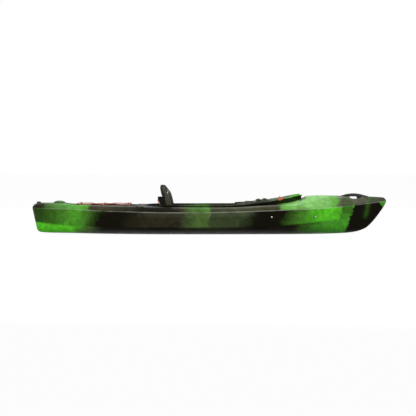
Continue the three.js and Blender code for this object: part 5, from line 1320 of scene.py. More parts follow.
group, given = geometry_tree("set_a_fitting_on_each_point", Fitting="Object", Slope="Vector",
                             Finish="Material")
shape = add(group, "GeometryNodeObjectInfo", {"As Instance": True}, {"Object": given.outputs["Fitting"]})
turned = add(group, "FunctionNodeEulerToRotation", links={"Euler": given.outputs["Slope"]})
placed = add(group, "GeometryNodeInstanceOnPoints", links={
    "Points": given.outputs["Geometry"], "Instance": shape.outputs["Geometry"], "Rotation": turned})
real = add(group, "GeometryNodeRealizeInstances", links={"Geometry": placed})
painted = add(group, "GeometryNodeSetMaterial", links={"Geometry": real, "Material": given.outputs["Finish"]})
add(group, "NodeGroupOutput", links={0: painted})


def grown(thing, tree_group, **inputs):
    """Evaluates a node tree on a thing and leaves its result as a plain mesh."""
    step = thing.modifiers.new("nodes", "NODES")
    step.node_group = tree_group
    sockets = {s.name: s.identifier for s in tree_group.interface.items_tree if s.in_out == "INPUT"}
    for name, value in inputs.items():
        if isinstance(value, str):
            step[sockets[name] + "_use_attribute"] = True
            step[sockets[name] + "_attribute_name"] = value
        else:
            step[sockets[name]] = value
    return applied(thing)


grown(loops, group, Fitting=one_loop, Slope="slope", Finish=black_nylon)
bpy.data.objects.remove(one_loop)
finish(loops, black_nylon, "hull", "black_plastic", *[f"well_loop_{s}_{i}" for s in SIDES for i in (1, 2, 3)])

# %% [markdown]
# Bungee is a bundle of rubber strands in a braided polyester sleeve, orange with a dark tracer. It
# laces the loops in two crossing runs, and a knot stops each end. The braid is drawn in the cord's
# own coordinates, so that it follows every bend, at twice its real 1.5 mm pitch, because the true
# one is too fine to show.

# %% Braided sleeve
BRAID_PITCH, STRANDS_ROUND = 0.003, 6.0


def braided(name, shade, tracer, faded):
    """Two sets of strands cross along the cord's UV map; every other crossing shows the tracer."""
    material, tree, out = blank(name)
    uv = add(tree, "UVMap", {"uv_map": "along"})
    axes = add(tree, "SeparateXYZ", links={0: uv})
    turns_along = add(tree, "Math", {"operation": "DIVIDE", 1: BRAID_PITCH * STRANDS_ROUND / 2},
                      {0: axes.outputs["X"]})
    strands = []
    for direction in (1.0, -1.0):
        mixed_run = add(tree, "Math", {"operation": "MULTIPLY_ADD", 1: direction},
                        {0: axes.outputs["Y"], 2: turns_along})
        wave = add(tree, "Math", {"operation": "MULTIPLY", 1: STRANDS_ROUND}, {0: mixed_run})
        strands.append(add(tree, "Math", {"operation": "PINGPONG", 1: 0.5}, {0: wave}))
    high = add(tree, "Math", {"operation": "MAXIMUM"}, {0: strands[0], 1: strands[1]})
    fleck = add(tree, "Math", {"operation": "MULTIPLY"}, {0: strands[0], 1: strands[1]})
    dark = add(tree, "MapRange", {1: 0.02, 2: 0.05, 3: 0.75, 4: 0.0}, {0: fleck})
    fade = add(tree, "TexNoise", {"Scale": 30.0, "Detail": 3.0})
    cloth = add(tree, "Mix", {6: colour(shade), 7: colour(faded)}, {0: fade})
    tone = add(tree, "Mix", {7: colour(tracer)}, {0: dark, 6: cloth})
    bump = add(tree, "Bump", {"Strength": 0.5, "Distance": 0.0005}, {"Height": high})
    sleeve = add(tree, "BsdfPrincipled", {"Roughness": 0.8, "Sheen Weight": 0.1, "Sheen Roughness": 0.4},
                 {"Base Color": tone, "Normal": bump})
    tree.links.new(sleeve.outputs[0], out.inputs["Surface"])
    return material


orange_braid = braided("braided_polyester_over_rubber", "ee5c14", "30261d", "b8471a")
print("the braid repeats every", BRAID_PITCH / MM, "mm")

# %% [markdown]
# Each run goes loop by loop from bow to stern and changes sides twice. Where the runs cross, one
# lies over the other, so it is lifted there. The knots are the trefoil that a cord ties by itself.

# %% The bungee of the tankwell
FOOT_HIGH, CORD_RADIUS, CORD_OVER = 3, 3, 0.9
RISE = FOOT_HIGH + CORD_RADIUS + CORD_OVER


def round_loop(x, side, *steps):
    """Points by a loop, each by (share of 8 mm ahead of it, share of 12 mm inward of it)."""
    made = []
    for ahead, inward in steps:
        place, out = x + 8 * ahead, well_out(x + 8 * ahead)
        made.append((place, side * (out - 12 * inward), height_at(place, out) + RISE))
    return made


def bungee_run(side, lift):
    """The points of one run, which starts at the front loop of a side."""
    rear, middle, front = LOOPS_X

    def cross(a, b):
        made = []
        for place in (-1, 0, 1):
            x = mixed(a, b, 0.5 + place * 0.12)
            made.append((x, side * WELL_HALF_FRONT * place * 0.24,
                         height_at(x, WELL_HALF_FRONT) + RISE + (lift * 0.78 if place else lift)))
        return made

    first = [(x, -y, z) for x, y, z in cross(front, middle)]
    second = cross(middle, rear)
    return [*round_loop(front, side, (2, 0), (0, 0), (-1, 1)), *first,
            *round_loop(middle, -side, (1, 1), (0.3, 0.167), (-0.3, 0.167), (-1, 1)), *second,
            *round_loop(rear, side, (1, 1), (0, 0.167), (-1, 0.333), (-2, 1), (-2.5, 2.5))]


def knot(name, x, y, z, radius):
    path = []
    for k in range(49):
        a = 2 * pi * k / 48
        path.append((x + radius * 0.52 * (sin(a) + 2 * sin(2 * a)) / 1.7,
                     y - radius * 0.52 * sin(3 * a) / 1.4,
                     z + radius * 0.52 * (cos(a) - 2 * cos(2 * a)) / 1.9))
    return tube_mesh(name, path, 2.7, 12)


run = bungee_run(-1, 0) + bungee_run(1, 8)[::-1]
cord_path = curve_through(run, 7)
cord = tube_mesh("tankwell_bungee_cord", cord_path, 3.4)
finish(cord, orange_braid, "hull", "bungee", "tankwell_bungee")
for side_name, (x, y, z) in (("starboard", run[0]), ("port", run[-1])):
    tied = knot(f"bungee_knot_{side_name}", x + 5, y, z + 0.8, 6.6)
    finish(tied, orange_braid, "hull", "bungee")
length = sum((b - a).length for a, b in zip(cord_path, cord_path[1:]))
print("tankwell bungee", round(length), "mm long")

# %% [markdown]
# The dash bungee is the same braided cord, stretched over the dash between two orange hooks that
# grip the lip of the rim. The path climbs from the lip onto the dash, so it is drawn through a few
# points on one side and mirrored for the other.

# %% Dash bungee and its hooks
HOOK_X = 608
ONE_END = ((3.6, 3.9), (4.6, 4.4), (7.9, 6.1), (12.5, 13.5), (23, 13.1), (52, 13.1))
one_end = [(HOOK_X, rim_half(HOOK_X) - inward, rim_z(HOOK_X) + up) for inward, up in ONE_END]
dash_path = curve_through([(x, -y, z) for x, y, z in one_end] + one_end[::-1], 8)
finish(tube_mesh("dash_bungee_cord", dash_path, 3), orange_braid, "hull", "bungee", "dash_bungee")


def lip_hook(side_name, side):
    profile = [(-4, 0.5), (-4, 3.4), (0, 4.6), (12, 4.8), (17.5, 3.8), (20.4, 1), (21.2, -3), (21.2, -9.5),
               (20.2, -12.4), (18.4, -12.8), (17.5, -11.5), (17.5, -3.2), (16.7, -0.9), (14.7, 0.2),
               (12, 0.5)]
    rings = []
    for ahead, inset in ((-18, 1.1), (-17.2, 0.5), (-15.5, 0), (-8, 0), (0, 0), (8, 0), (15.5, 0),
                         (17.2, 0.5), (18, 1.1)):
        x = HOOK_X + ahead
        rings.append([(x, side * (rim_half(x) + out - (inset if out > 17.6 else 0)),
                       rim_z(x) + up - (inset if up > 0.6 else 0)) for out, up in profile])
    eye = [(HOOK_X + 6 * cos(a), side * (rim_half(HOOK_X) - 8 + 3.2 * sin(a)),
            rim_z(HOOK_X) + 3.8 + 5.4 * sin(a)) for a in angles_round(24, 0)]
    return join(f"rim_hook_{side_name}", loft("strip", rings), closed_cord("eye", eye, 1.6, 8))


for side_name, side in SIDES.items():
    hook = smooth_by_angle(lip_hook(side_name, side), 40)
    finish(hook, orange_nylon, "hull", "orange_plastic", f"bungee_hook_{side_name}")

# %% [markdown]
# A flush rod holder is a plain tube with a flange that follows the deck. The flange is a stack of
# rings whose points each take the deck's own height, the tube leans back and out through it, and a
# bore closed at its foot holds the rod's butt. A rounded lip keeps the reel seat from chafing.

# %% Rod holders
FLANGE = ((2, 0.3), (20, 0.3), (35, 0.3), (35, 1.6), (34.4, 2.6), (33, 3.3), (31.4, 3.5), (30, 4.2),
          (27, 4.6), (20, 4.6), (2, 4.6))
SLEEVE_RADIUS, BORE_RADIUS, TUBE_DEEP, LONGER = 24, 21, 190, 1.06


def rod_holder(side):
    place, turn = (ROD_X, side * ROD_Y, height_at(ROD_X, ROD_Y)), rod_turn(side)

    def level(radius, up):
        ring = []
        for a in angles_round(72, 0):
            x, y = place[0] + LONGER * radius * cos(a), place[1] + radius * sin(a)
            ring.append((x, y, height_at(x, y) + up))
        return ring

    flange = loft("flange", [level(r, z) for r, z in FLANGE])
    sleeve = tube("sleeve", SLEEVE_RADIUS, place, turn, -TUBE_DEEP, -4, 56)
    bore = tube("bore", BORE_RADIUS, place, turn, 3 - TUBE_DEEP, 60, 56)
    sleeve = combine(sleeve, "DIFFERENCE", loft("above", [level(60, 0.2), level(60, 60)]))
    return combine(combine(flange, "UNION", sleeve), "DIFFERENCE", bore)


for side_name, side in SIDES.items():
    holder = smooth_by_angle(rod_holder(side), 35)
    finish(holder, black_nylon, "hull", "black_plastic", f"rod_holder_{side_name}")

# %% [markdown]
# The seat is a shallow moulded tray with raised sides that stands on the floor and is open beneath.
# Its top is one curve across, so the rim, the slope and the dish have no hard creases. The tray is
# hollowed by a smaller copy, as the hull was, and its two ears take the bolts of the backrest. It is
# plain black polyethylene: a dull, pebbled skin, with pale scuffs from sand and boots.

# %% Seat tray
SEAT_REAR, SEAT_FRONT, SEAT_WALL, HINGE_X, HINGE_Z, EAR_Y = -396, -22, 4, -332, 76, 136.3


def eased(t):
    t = max(0.0, min(1.0, t))
    return t * t * (3 - 2 * t)


def seat_top(x):
    """Flat behind, and rising under the knees."""
    return 40 + 16 * (max(0, (x - SEAT_REAR) / (SEAT_FRONT - SEAT_REAR) - 0.78) / 0.22) ** 2


def rounding(near, radius):
    """How far a rounded edge has dropped at a distance from that edge."""
    return radius - sqrt(radius**2 - (radius - near) ** 2) if near < radius else 0


def tray_ring(x, inset):
    """One ring across the tray: over its top, then back along the floor of the hull."""
    wide = mixed(152, 192, min(1, (x - SEAT_REAR) / 187)) - inset
    drop = rounding(max(0, min(x - SEAT_REAR, SEAT_FRONT - x) - inset), 9)
    ring = []
    for k in range(49):
        t = sin(pi / 2 * (k / 24 - 1))
        top = mixed(seat_top(x) - 3 * (1 - min(1, abs(t) / 0.7) ** 2), 60, eased((abs(t) - 0.74) / 0.2))
        ring.append((x, t * wide, top - inset - drop - rounding((1 - abs(t)) * wide, 5)))
    for k in range(13):
        y = wide * (1 - k / 6)
        ring.append((x, y, height_at(x, y, WALL, False) + (-20 if inset else 0.4)))
    return ring


def hinge_ear(name, y):
    return tube(name, 17, (HINGE_X, y, HINGE_Z), ACROSS, -3, 3, 48)


def hinge_pin():
    return tube("pin", 5.3, (HINGE_X, 0, HINGE_Z), ACROSS, -160, 160, 28)


def seat_tray():
    shares = ([0, 0.004, 0.01, 0.018, 0.026] + [0.03 + 0.94 * k / 40 for k in range(41)]
              + [0.974, 0.982, 0.99, 0.996, 1])
    body, hollow = (loft(name, [tray_ring(mixed(SEAT_REAR + inset, SEAT_FRONT - inset, s), inset)
                                for s in shares])
                    for name, inset in (("seat_tray", 0), ("hollow", SEAT_WALL)))
    body = combine(body, "DIFFERENCE", hollow)
    for side in (-1, 1):
        ear = hinge_ear("ear", side * EAR_Y)
        stem = loft("stem", [[(HINGE_X + w * x, side * EAR_Y + y, z)
                              for x, y in ((-17, -3), (17, -3), (17, 3), (-17, 3))]
                             for z, w in ((38, 1.5), (46, 1.2), (58, 1), (HINGE_Z, 1))])
        body = combine(body, "UNION", stem, ear)
    return combine(body, "DIFFERENCE", hinge_pin())


tray_poly, tree, out = blank("moulded_polyethylene_black")
where = add(tree, "TexCoord").outputs["Object"]
pebble = add(tree, "TexNoise", {"Scale": 480.0, "Detail": 3.0, "Roughness": 0.6}, {"Vector": where})
scuff = add(tree, "TexNoise", {"Scale": 18.0, "Detail": 6.0, "Roughness": 0.7}, {"Vector": where})
tone = add(tree, "Mix", {6: colour("161614"), 7: colour("34342f")}, {0: scuff})
bump = add(tree, "Bump", {"Strength": 0.3, "Distance": 0.0004}, {"Height": pebble})
poly = add(tree, "BsdfPrincipled", {"IOR": 1.5, "Roughness": 0.55, "Specular IOR Level": 0.3},
           {"Base Color": tone, "Normal": bump})
tree.links.new(poly.outputs[0], out.inputs["Surface"])
finish(smooth_by_angle(seat_tray(), 35), tray_poly, "hull", "black_plastic", "seat_pan")

# %% [markdown]
# The soft parts are covered in 600 denier polyester: coarse matt threads in a plain weave, about
# 0.6 mm apart. A boat three metres long never shows them so fine, so the weave is drawn at 2.4 mm.
# It needs no UV map: two sets of threads cross in the plane that the cloth mostly lies in. Webbing
# and binding are the same weave, denser and darker. Foam shows its cut cells as faint dimples.

# %% Woven polyester, webbing and closed-cell foam
# Where the backrest's painted shade lies: half its width, the lean of its plane, and that plane's place.
SHADE_PANEL_HALF, LEAN, SHADE_PANEL_X = 0.112, 0.278, -0.301


def woven(name, shade, light, run_a, run_b, pitch=0.0024, middle=None):
    """Plain weave in the plane of two Object axes, with sun-faded patches.

    On the backrest the rear and middle are painted near black as shade, drawn as a darker cloth;
    middle gives its colour. SHADE_PANEL_HALF is half its width, and it lies behind a plane that leans
    as the back does."""
    material, tree, out = blank(name)
    where = add(tree, "TexCoord").outputs["Object"]
    axes = add(tree, "SeparateXYZ", links={0: where})
    waves = []
    for axis in (run_a, run_b):
        turned = add(tree, "Math", {"operation": "MULTIPLY", 1: pi / pitch}, {0: axes.outputs[axis]})
        waves.append(add(tree, "Math", {"operation": "SINE"}, {0: turned}))
    checker = add(tree, "Math", {"operation": "MULTIPLY"}, {0: waves[0], 1: waves[1]})
    height = add(tree, "MapRange", {1: -1.0, 2: 1.0}, {0: checker})
    fade = add(tree, "TexNoise", {"Scale": 9.0, "Detail": 5.0, "Roughness": 0.65}, {"Vector": where})
    share = add(tree, "MapRange", {1: 0.3, 2: 0.75, 3: 0.0, 4: 0.7}, {0: fade})
    cloth = add(tree, "Mix", {6: colour(shade), 7: colour(light)}, {0: share})
    # Painted shade: the backrest's middle and rear are drawn in the near black of middle.
    if middle:
        off_centre = add(tree, "Math", {"operation": "ABSOLUTE"}, {0: axes.outputs["Y"]})
        shade_panel = add(tree, "MapRange", {1: SHADE_PANEL_HALF, 2: SHADE_PANEL_HALF + 0.01}, {0: off_centre})
        lean = add(tree, "Math", {"operation": "MULTIPLY_ADD", 1: LEAN},
                   {0: axes.outputs["Z"], 2: axes.outputs["X"]})
        ahead = add(tree, "MapRange", {1: SHADE_PANEL_X, 2: SHADE_PANEL_X + 0.006}, {0: lean})
        shade_panel = add(tree, "Math", {"operation": "MINIMUM"}, {0: shade_panel, 1: ahead})
        cloth = add(tree, "Mix", {6: colour(middle)}, {0: shade_panel, 7: cloth})
    # Painted shade in the hollows of the weave, and painted highlight on the crests of its threads.
    weave_shade = add(tree, "MapRange", {1: 0.0, 2: 1.0, 3: 0.72, 4: 1.12}, {0: height})
    tone = add(tree, "VectorMath", {"operation": "SCALE"}, {0: cloth, "Scale": weave_shade})
    bump = add(tree, "Bump", {"Strength": 0.55, "Distance": 0.0005}, {"Height": height})
    fabric = add(tree, "BsdfPrincipled", {"Roughness": 0.85, "Sheen Weight": 0.06, "Sheen Roughness": 0.5,
                 "Specular IOR Level": 0.06}, {"Base Color": tone, "Normal": bump})
    tree.links.new(fabric.outputs[0], out.inputs["Surface"])
    return material


upright_weave = woven("woven_polyester_upright", "4a483e", "5f5c50", "Y", "Z")
# The backrest's cloth, with painted shade: its middle and rear in near black.
backrest_weave_with_painted_shade = woven("woven_polyester_sides_with_painted_shade", "525142", "706e5b", "X", "Z", middle="0c0b07")
pouch_weave = woven("woven_polyester_pouch", "16140e", "3a372b", "Y", "Z")
level_weave = woven("woven_polyester_level", "3e3d36", "55534a", "X", "Y")
binding = woven("grosgrain_binding", "1d1c19", "2c2b27", "Y", "Z", 0.0016)
webbing = woven("polypropylene_webbing", "191917", "2a2a27", "X", "Z", 0.002)
orange_webbing = woven("polypropylene_webbing_orange", "ee8a32", "e8792a", "Y", "Z", 0.002)

foam, tree, out = blank("closed_cell_foam")
where = add(tree, "TexCoord").outputs["Object"]
cells = add(tree, "TexVoronoi", {"Scale": 620.0}, {"Vector": where})
bruise = add(tree, "TexNoise", {"Scale": 22.0, "Detail": 4.0}, {"Vector": where})
tone = add(tree, "Mix", {6: colour("1c1c1b"), 7: colour("333331")}, {0: bruise})
bump = add(tree, "Bump", {"Strength": 0.4, "Distance": 0.0005}, {"Height": cells.outputs["Distance"]})
skin = add(tree, "BsdfPrincipled", {"Roughness": 0.9, "Specular IOR Level": 0.2},
           {"Base Color": tone, "Normal": bump})
tree.links.new(skin.outputs[0], out.inputs["Surface"])

# %% [markdown]
# A pad is sewn flat and filled, so it is made flat here too. A low pillow is remeshed evenly, and
# Cloth with a little air pressure blows it up as the foam does its cover. No point may move further
# than a cap. Then the sewn channels are pressed in, and only at the end is the pad bent onto what
# carries it, which also keeps its underside exactly on that surface.

# %% Blow up a pad, press its channels in, and bend it into place
def plan_of(half_width, half_length, power, steps=72):
    corners = [squared(a, power) for a in angles_round(steps)]
    return [(c * half_length, s * half_width) for c, s in corners]


PAD_POWER, VOXEL, PRESSURE, MOMENTS = 9, 0.005, 4, 20
PILLOW = ((-9, 0.0), (-3, 0.1), (-0.6, 0.22), (0, 0.4), (-0.6, 0.6), (-3, 0.82), (-9, 0.96), (-30, 1.0))


def blown_pad(name, half_width, half_length, thick, swell):
    """A flat pad, its underside on z = 0, that Cloth blows up by at most swell millimetres."""
    most = swell * MM
    pad = loft(name, [[(x * (1 + out / half_length), y * (1 + out / half_width), thick * up)
                       for x, y in plan_of(half_width, half_length, PAD_POWER)]
                      for out, up in PILLOW])
    even = pad.modifiers.new("even", "REMESH")
    even.mode, even.voxel_size = "VOXEL", VOXEL
    applied(pad)
    start = np.array([v.co for v in pad.data.vertices])
    cloth = pad.modifiers.new("cover", "CLOTH")
    cloth.settings.use_pressure = True
    cloth.settings.uniform_pressure_force = PRESSURE
    cloth.settings.effector_weights.gravity = 0
    for moment in range(1, MOMENTS + 1):
        bpy.context.scene.frame_set(moment)
    end = np.array([v.co for v in evaluated(pad).vertices])
    pad.modifiers.clear()
    bpy.context.scene.frame_set(1)
    move = end - start
    size = np.linalg.norm(move, axis=1, keepdims=True)
    end = start + move * np.minimum(1, most / np.maximum(size, 1e-9))
    end[:, 2] = np.maximum(end[:, 2], 0)
    pad.data.vertices.foreach_set("co", end.astype(np.float32).ravel())
    print(name, "swelled by up to", round(float(np.minimum(size, most).max() / MM), 1), "mm")
    finer = pad.modifiers.new("finer", "SUBSURF")
    finer.levels = finer.render_levels = 1
    return applied(pad)


CHANNEL_WIDE, CHANNEL_ENDS, CHANNEL_FADES = 0.0045, 0.016, 0.014


def sewn(pad, lines, half_length, seam):
    """Presses a channel along each line y = const, which ends a little inside the pad."""
    points = np.array([v.co for v in pad.data.vertices])
    for y in lines:
        near = np.exp(-((points[:, 1] - y * MM) / CHANNEL_WIDE) ** 2)
        near *= rising(half_length * MM - CHANNEL_ENDS - np.abs(points[:, 0]), CHANNEL_FADES)
        pressed = np.minimum(points[:, 2], seam * MM)
        points[:, 2] = points[:, 2] * (1 - near) + pressed * near
    pad.data.vertices.foreach_set("co", points.astype(np.float32).ravel())
    return pad


def bent(thing, place):
    for vertex in thing.data.vertices:
        x, y, z = (c / MM for c in vertex.co)
        vertex.co = [c * MM for c in place(x, y, z)]
    thing.data.update()
    thing.data.polygons.foreach_set("use_smooth", [True] * len(thing.data.polygons))
    return thing

# %% [markdown]
# Stitches repeat along a seam, so Geometry Nodes lay them: the seam becomes a curve, the curve is
# cut into equal steps, and one small stitch is set on each step, turned along the seam. A real
# stitch is 3 mm long with a 0.3 mm thread. These are 5 mm long and thicker, or they would vanish.

# %% Stitches along a seam
seams, given = geometry_tree("stitches_along_a_seam", Stitch="Object", Step="Float", Thread="Material")
line = add(seams, "GeometryNodeMeshToCurve", links={"Mesh": given.outputs["Geometry"]})
steps = add(seams, "GeometryNodeResampleCurve", {"mode": "LENGTH"},
            {"Curve": line, "Length": given.outputs["Step"]})
one = add(seams, "GeometryNodeObjectInfo", {"As Instance": True}, {"Object": given.outputs["Stitch"]})
heading = add(seams, "GeometryNodeInputTangent")
aimed = add(seams, "FunctionNodeAlignRotationToVector", {"axis": "X"}, {"Vector": heading})
laid = add(seams, "GeometryNodeInstanceOnPoints", links={
    "Points": steps, "Instance": one.outputs["Geometry"], "Rotation": aimed})
solid = add(seams, "GeometryNodeRealizeInstances", links={"Geometry": laid})
sewn_on = add(seams, "GeometryNodeSetMaterial",
              links={"Geometry": solid, "Material": given.outputs["Thread"]})
add(seams, "NodeGroupOutput", links={0: sewn_on})

thread, tree, out = blank("bonded_polyester_thread")
where = add(tree, "TexCoord").outputs["Object"]
ply = add(tree, "TexNoise", {"Scale": 800.0, "Detail": 1.0}, {"Vector": where})
tone = add(tree, "Mix", {6: colour("6d6a5e"), 7: colour("8a8778")}, {0: ply})
yarn = add(tree, "BsdfPrincipled", {"Roughness": 0.6, "Specular IOR Level": 0.3}, {"Base Color": tone})
tree.links.new(yarn.outputs[0], out.inputs["Surface"])


STITCH = ((-1.9, 0.15), (-1.5, 0.55), (0, 0.75), (1.5, 0.55), (1.9, 0.15))
STITCH_STEP = 0.005


def stitched(name, body, *lines):
    points, edges = [], []
    for row in lines:
        edges += [(len(points) + i, len(points) + i + 1) for i in range(len(row) - 1)]
        points += row
    rows = new_object(name, bpy.data.meshes.new(name))
    rows.data.from_pydata([tuple(c * MM for c in p) for p in points], edges, [])
    stitch = loft("stitch", [[(x, r * cos(a), r * sin(a)) for a in angles_round(6, 0)]
                             for x, r in STITCH])
    grown(rows, seams, Stitch=stitch, Step=STITCH_STEP, Thread=thread)
    bpy.data.objects.remove(stitch)
    finish(rows, thread, body, "fabric")

# %% [markdown]
# The seat cushion lies on the tray: four sewn channels from back to front, a corded edge, and
# corners rounded by its pattern. Its underside takes the tray's own height at each point.

# %% Seat cushion
CUSHION_X, CUSHION_HALF, CUSHION_CHANNELS = -175, 124, (-75, -25, 25, 75)


def on_tray(x, y, z):
    """Flat pattern to seat: x runs forward from the cushion's middle, y across."""
    place_x = CUSHION_X + x
    dish = 2.4 * (1 - min(1, abs(y) / 134) ** 2)
    return (place_x, y * (1 - 0.1 * eased((-x - 60) / 90)), seat_top(place_x) - dish + 0.6 + max(z, 0))


def corded(name, place, half_width, half_length, height, radius, body):
    edge = [place(x, y, height) for x, y in plan_of(half_width, half_length, PAD_POWER, 120)]
    cord = smooth_by_angle(closed_cord(name, edge, radius, 10), 60)
    return finish(cord, binding, body, "fabric")


cushion = blown_pad("seat_cushion_cover", CUSHION_HALF, CUSHION_HALF, 17, 5)
cushion = bent(sewn(cushion, CUSHION_CHANNELS, CUSHION_HALF, 8), on_tray)
finish(cushion, level_weave, "hull", "fabric", "seat_cushion")
corded("seat_cushion_cord", on_tray, CUSHION_HALF + 4, CUSHION_HALF + 4, 7, 2.2, "hull")
stitched("seat_cushion_stitches", "hull",
         *[[on_tray(x, y, 8.7) for x in range(-104, 105, 8)] for y in CUSHION_CHANNELS])

# %% [markdown]
# The backrest is a moulded shell with cloth bonded to it, leaning back and wrapping forward at its
# sides. Its wings are quilted in short lobes, which scallop their front edges, and a slot through
# each takes a strap. A place on it is given by shares across and up, and a distance forward.

# %% Backrest shell
BACK_FOOT_Z, BACK_HIGH, BACK_HALF, WING_REACH, ARM_Y = 91, 334, 206, 74, 129.7
SLOT_X, SLOT_Z, SLOT_LEAN, SLOT_RADIUS, RIM_RADIUS = -366, 357, 0.5, 9, 10
back_wide = smooth([(0, 0.62), (0.12, 0.86), (0.35, 0.99), (0.6, 1), (0.8, 0.93), (0.93, 0.78), (1, 0.55)])
back_wrap = smooth([(0, 0.12), (0.2, 0.7), (0.5, 0.92), (0.75, 0.83), (0.9, 0.51), (1, 0.22)])


def back_point(u, v, forward):
    """u goes across from -1 to 1, v up from 0 to 1, forward is a distance off the shell."""
    wide, reach = BACK_HALF * back_wide(v), WING_REACH * back_wrap(v)
    turn = atan2(2.4 * reach * abs(u) ** 1.4, wide)
    return (-340 - 76 * max(v, 0) ** 0.62 + reach * abs(u) ** 2.4 + forward * cos(turn),
            wide * u - copysign(forward * sin(turn), u), BACK_FOOT_Z + BACK_HIGH * v)


def spread(half):
    """Shares from -1 to 1 in 2 * half steps, closer together towards both ends."""
    return [sin(pi / 2 * (k / half - 1)) for k in range(2 * half + 1)]


def lobe(u, v):
    """How much the quilting of the wings rises, in lobes of 28 mm."""
    rise = 4.2 * abs(sin(pi * (v * BACK_HIGH + 9) / 28)) ** 0.6
    return rise * eased((abs(u) - 0.7) / 0.12)


def back_shell():
    rings = []
    for j in range(101):
        v = 0.975 * j / 100
        thin = 1 if 2 < j < 98 else (0.5, 0.8, 0.95)[min(j, 100 - j)]
        us = spread(28)
        front = [back_point(u, v, 2 + (2 + lobe(u, v)) * thin) for u in us]
        edge = 1.006 + 0.005 * lobe(1, v)
        rings.append([back_point(-edge, v, 2.2)] + front + [back_point(edge, v, 2.2)]
                     + [back_point(u, v, 2 - 2 * thin) for u in us[::-1]])
    return loft("backrest_shell", rings)


def slot_outline(radius, count):
    made = []
    for a in angles_round(count):
        x, z = radius * cos(a), copysign(SLOT_RADIUS, sin(a)) + radius * sin(a)
        made.append((SLOT_X + x * cos(SLOT_LEAN) - z * sin(SLOT_LEAN),
                     SLOT_Z + x * sin(SLOT_LEAN) + z * cos(SLOT_LEAN)))
    return made


def slot_cutter(side):
    outline = slot_outline(SLOT_RADIUS, 40)
    return loft("slot", [[(x, side * y, z) for x, z in outline] for y in (120, 230)])


def arm(side):
    outline = [(-315, 76), (-349, 76), (-353, 92), (-369, 140), (-353, 140), (-336, 108)]
    return loft("arm", [[(x, side * ARM_Y + y, z) for x, z in outline] for y in (-3, 3)])


back_body = combine(back_shell(), "DIFFERENCE", slot_cutter(-1), slot_cutter(1))
for side in (-1, 1):
    back_body = combine(back_body, "UNION", arm(side), hinge_ear("eye", side * ARM_Y))
back_body = combine(back_body, "DIFFERENCE", hinge_pin())
finish(smooth_by_angle(back_body, 38), backrest_weave_with_painted_shade, "backrest", "black_plastic", "backrest_frame")

# %% [markdown]
# The raw edge of cloth and shell is covered by a folded tape, the binding, and each slot is lined
# by a hard rim, so that the strap doesn't saw through the cloth. Both are cords along closed paths.

# %% The binding round the shell's edge, and the rims of its slots
edge_path = [back_point(-1.012, 0.975 * k / 60, 2.2) for k in range(2, 60)]
edge_path += [back_point(u, 0.978, 2) for u in spread(16)[1:-1]]
edge_path += [back_point(1.012, 0.975 * k / 60, 2.2) for k in range(59, 1, -1)]
edge_path += [back_point(u, 0.002, 2) for u in spread(16)[-2:0:-1]]
# The binding is near black, and along the shell's rear edge it also stands in for the shade there.
bound = smooth_by_angle(closed_cord("backrest_binding", edge_path, 3.4, 10), 60)
finish(bound, binding, "backrest", "fabric")


def eyelet(name, side):
    ring = []
    for x, z in slot_outline(RIM_RADIUS, 48):
        v = (z - BACK_FOOT_Z) / BACK_HIGH
        share = max(0, (x + 338 + 76 * v ** 0.62) / (WING_REACH * back_wrap(v))) ** (1 / 2.4)
        ring.append(back_point(side * min(share, 0.99), v, 6))
    return closed_cord(name, ring, 1.6, 8)


for side_name, side in SIDES.items():
    rim = smooth_by_angle(eyelet(f"slot_rim_{side_name}", side), 60)
    finish(rim, black_nylon, "backrest", "black_plastic")

# %% [markdown]
# The back pad is a second blown pad, bent over the shell by the shell's own shares, with four sewn
# channels from top to bottom. A padded hood is pulled over the shell's top. Cut through, it is a
# leaf: thick over the edge, thin where it is sewn down behind, and drawn in towards both wings.

# %% Back pad
BACK_PAD_HALF, BACK_CHANNELS = 134, (-78, -27, 27, 78)


def on_back(x, y, z):
    """Flat pattern to backrest: x runs up from the pad's middle, y across, drawn in towards the top."""
    narrow = 1 - 0.27 * eased((x + 20) / 95)
    return back_point(y * narrow / (BACK_HALF * 0.98), 0.525 + x / BACK_HIGH, 4.8 + max(z, 0))


back_pad = blown_pad("backrest_pad_cover", 128, BACK_PAD_HALF, 17, 6)
back_pad = bent(sewn(back_pad, BACK_CHANNELS, BACK_PAD_HALF, 7), on_back)
finish(back_pad, upright_weave, "backrest", "fabric", "backrest_pad")
corded("backrest_pad_cord", on_back, 132, BACK_PAD_HALF + 4, 6, 2.2, "backrest")
stitched("backrest_pad_stitches", "backrest",
         *[[on_back(x, y, 7.7) for x in range(-112, 113, 8)] for y in BACK_CHANNELS])

# %% Padded hood over the top
HOOD_SECTION = [(-0.6, 0.685), (-7, 0.7), (-12, 0.745), (-14, 0.8), (-14.6, 0.85),
                (-14.8, 0.9), (-13.5, 0.937),
        (-10, 0.966), (-4, 0.99), (4, 1.0), (11, 1.0), (18, 0.988), (23, 0.962), (25, 0.93),
        (24, 0.895), (19, 0.865), (12, 0.85), (4.6, 0.845), (2, 0.84)]


def top_hood():
    """The leaf goes once across, smaller towards the wings and pinched between its stitches."""
    closed = curve_through([(forward, 0, v * BACK_HIGH) for forward, v in HOOD_SECTION], 3)
    rings = []
    for k in range(81):
        t = k / 40 - 1
        size = 0.16 + 0.84 * max(0, 1 - abs(t) ** 3.2) ** 0.6
        pinch = 1 - 0.07 * abs(cos(pi * t * 4)) ** 10
        ring = []
        for point in closed:
            forward = 2 + (point.x - 2) * size * pinch
            low = 0.12 + 0.88 * max(0, 1 - abs(t) ** 2.2) ** 0.8
            share = min(0.998, mixed(0.93, point.z / BACK_HIGH, low))
            ring.append(back_point(0.985 * t, share, forward))
        rings.append(ring)
    return loft("backrest_top_hood", rings)


finish(smooth_by_angle(top_hood(), 60), backrest_weave_with_painted_shade, "backrest", "fabric")

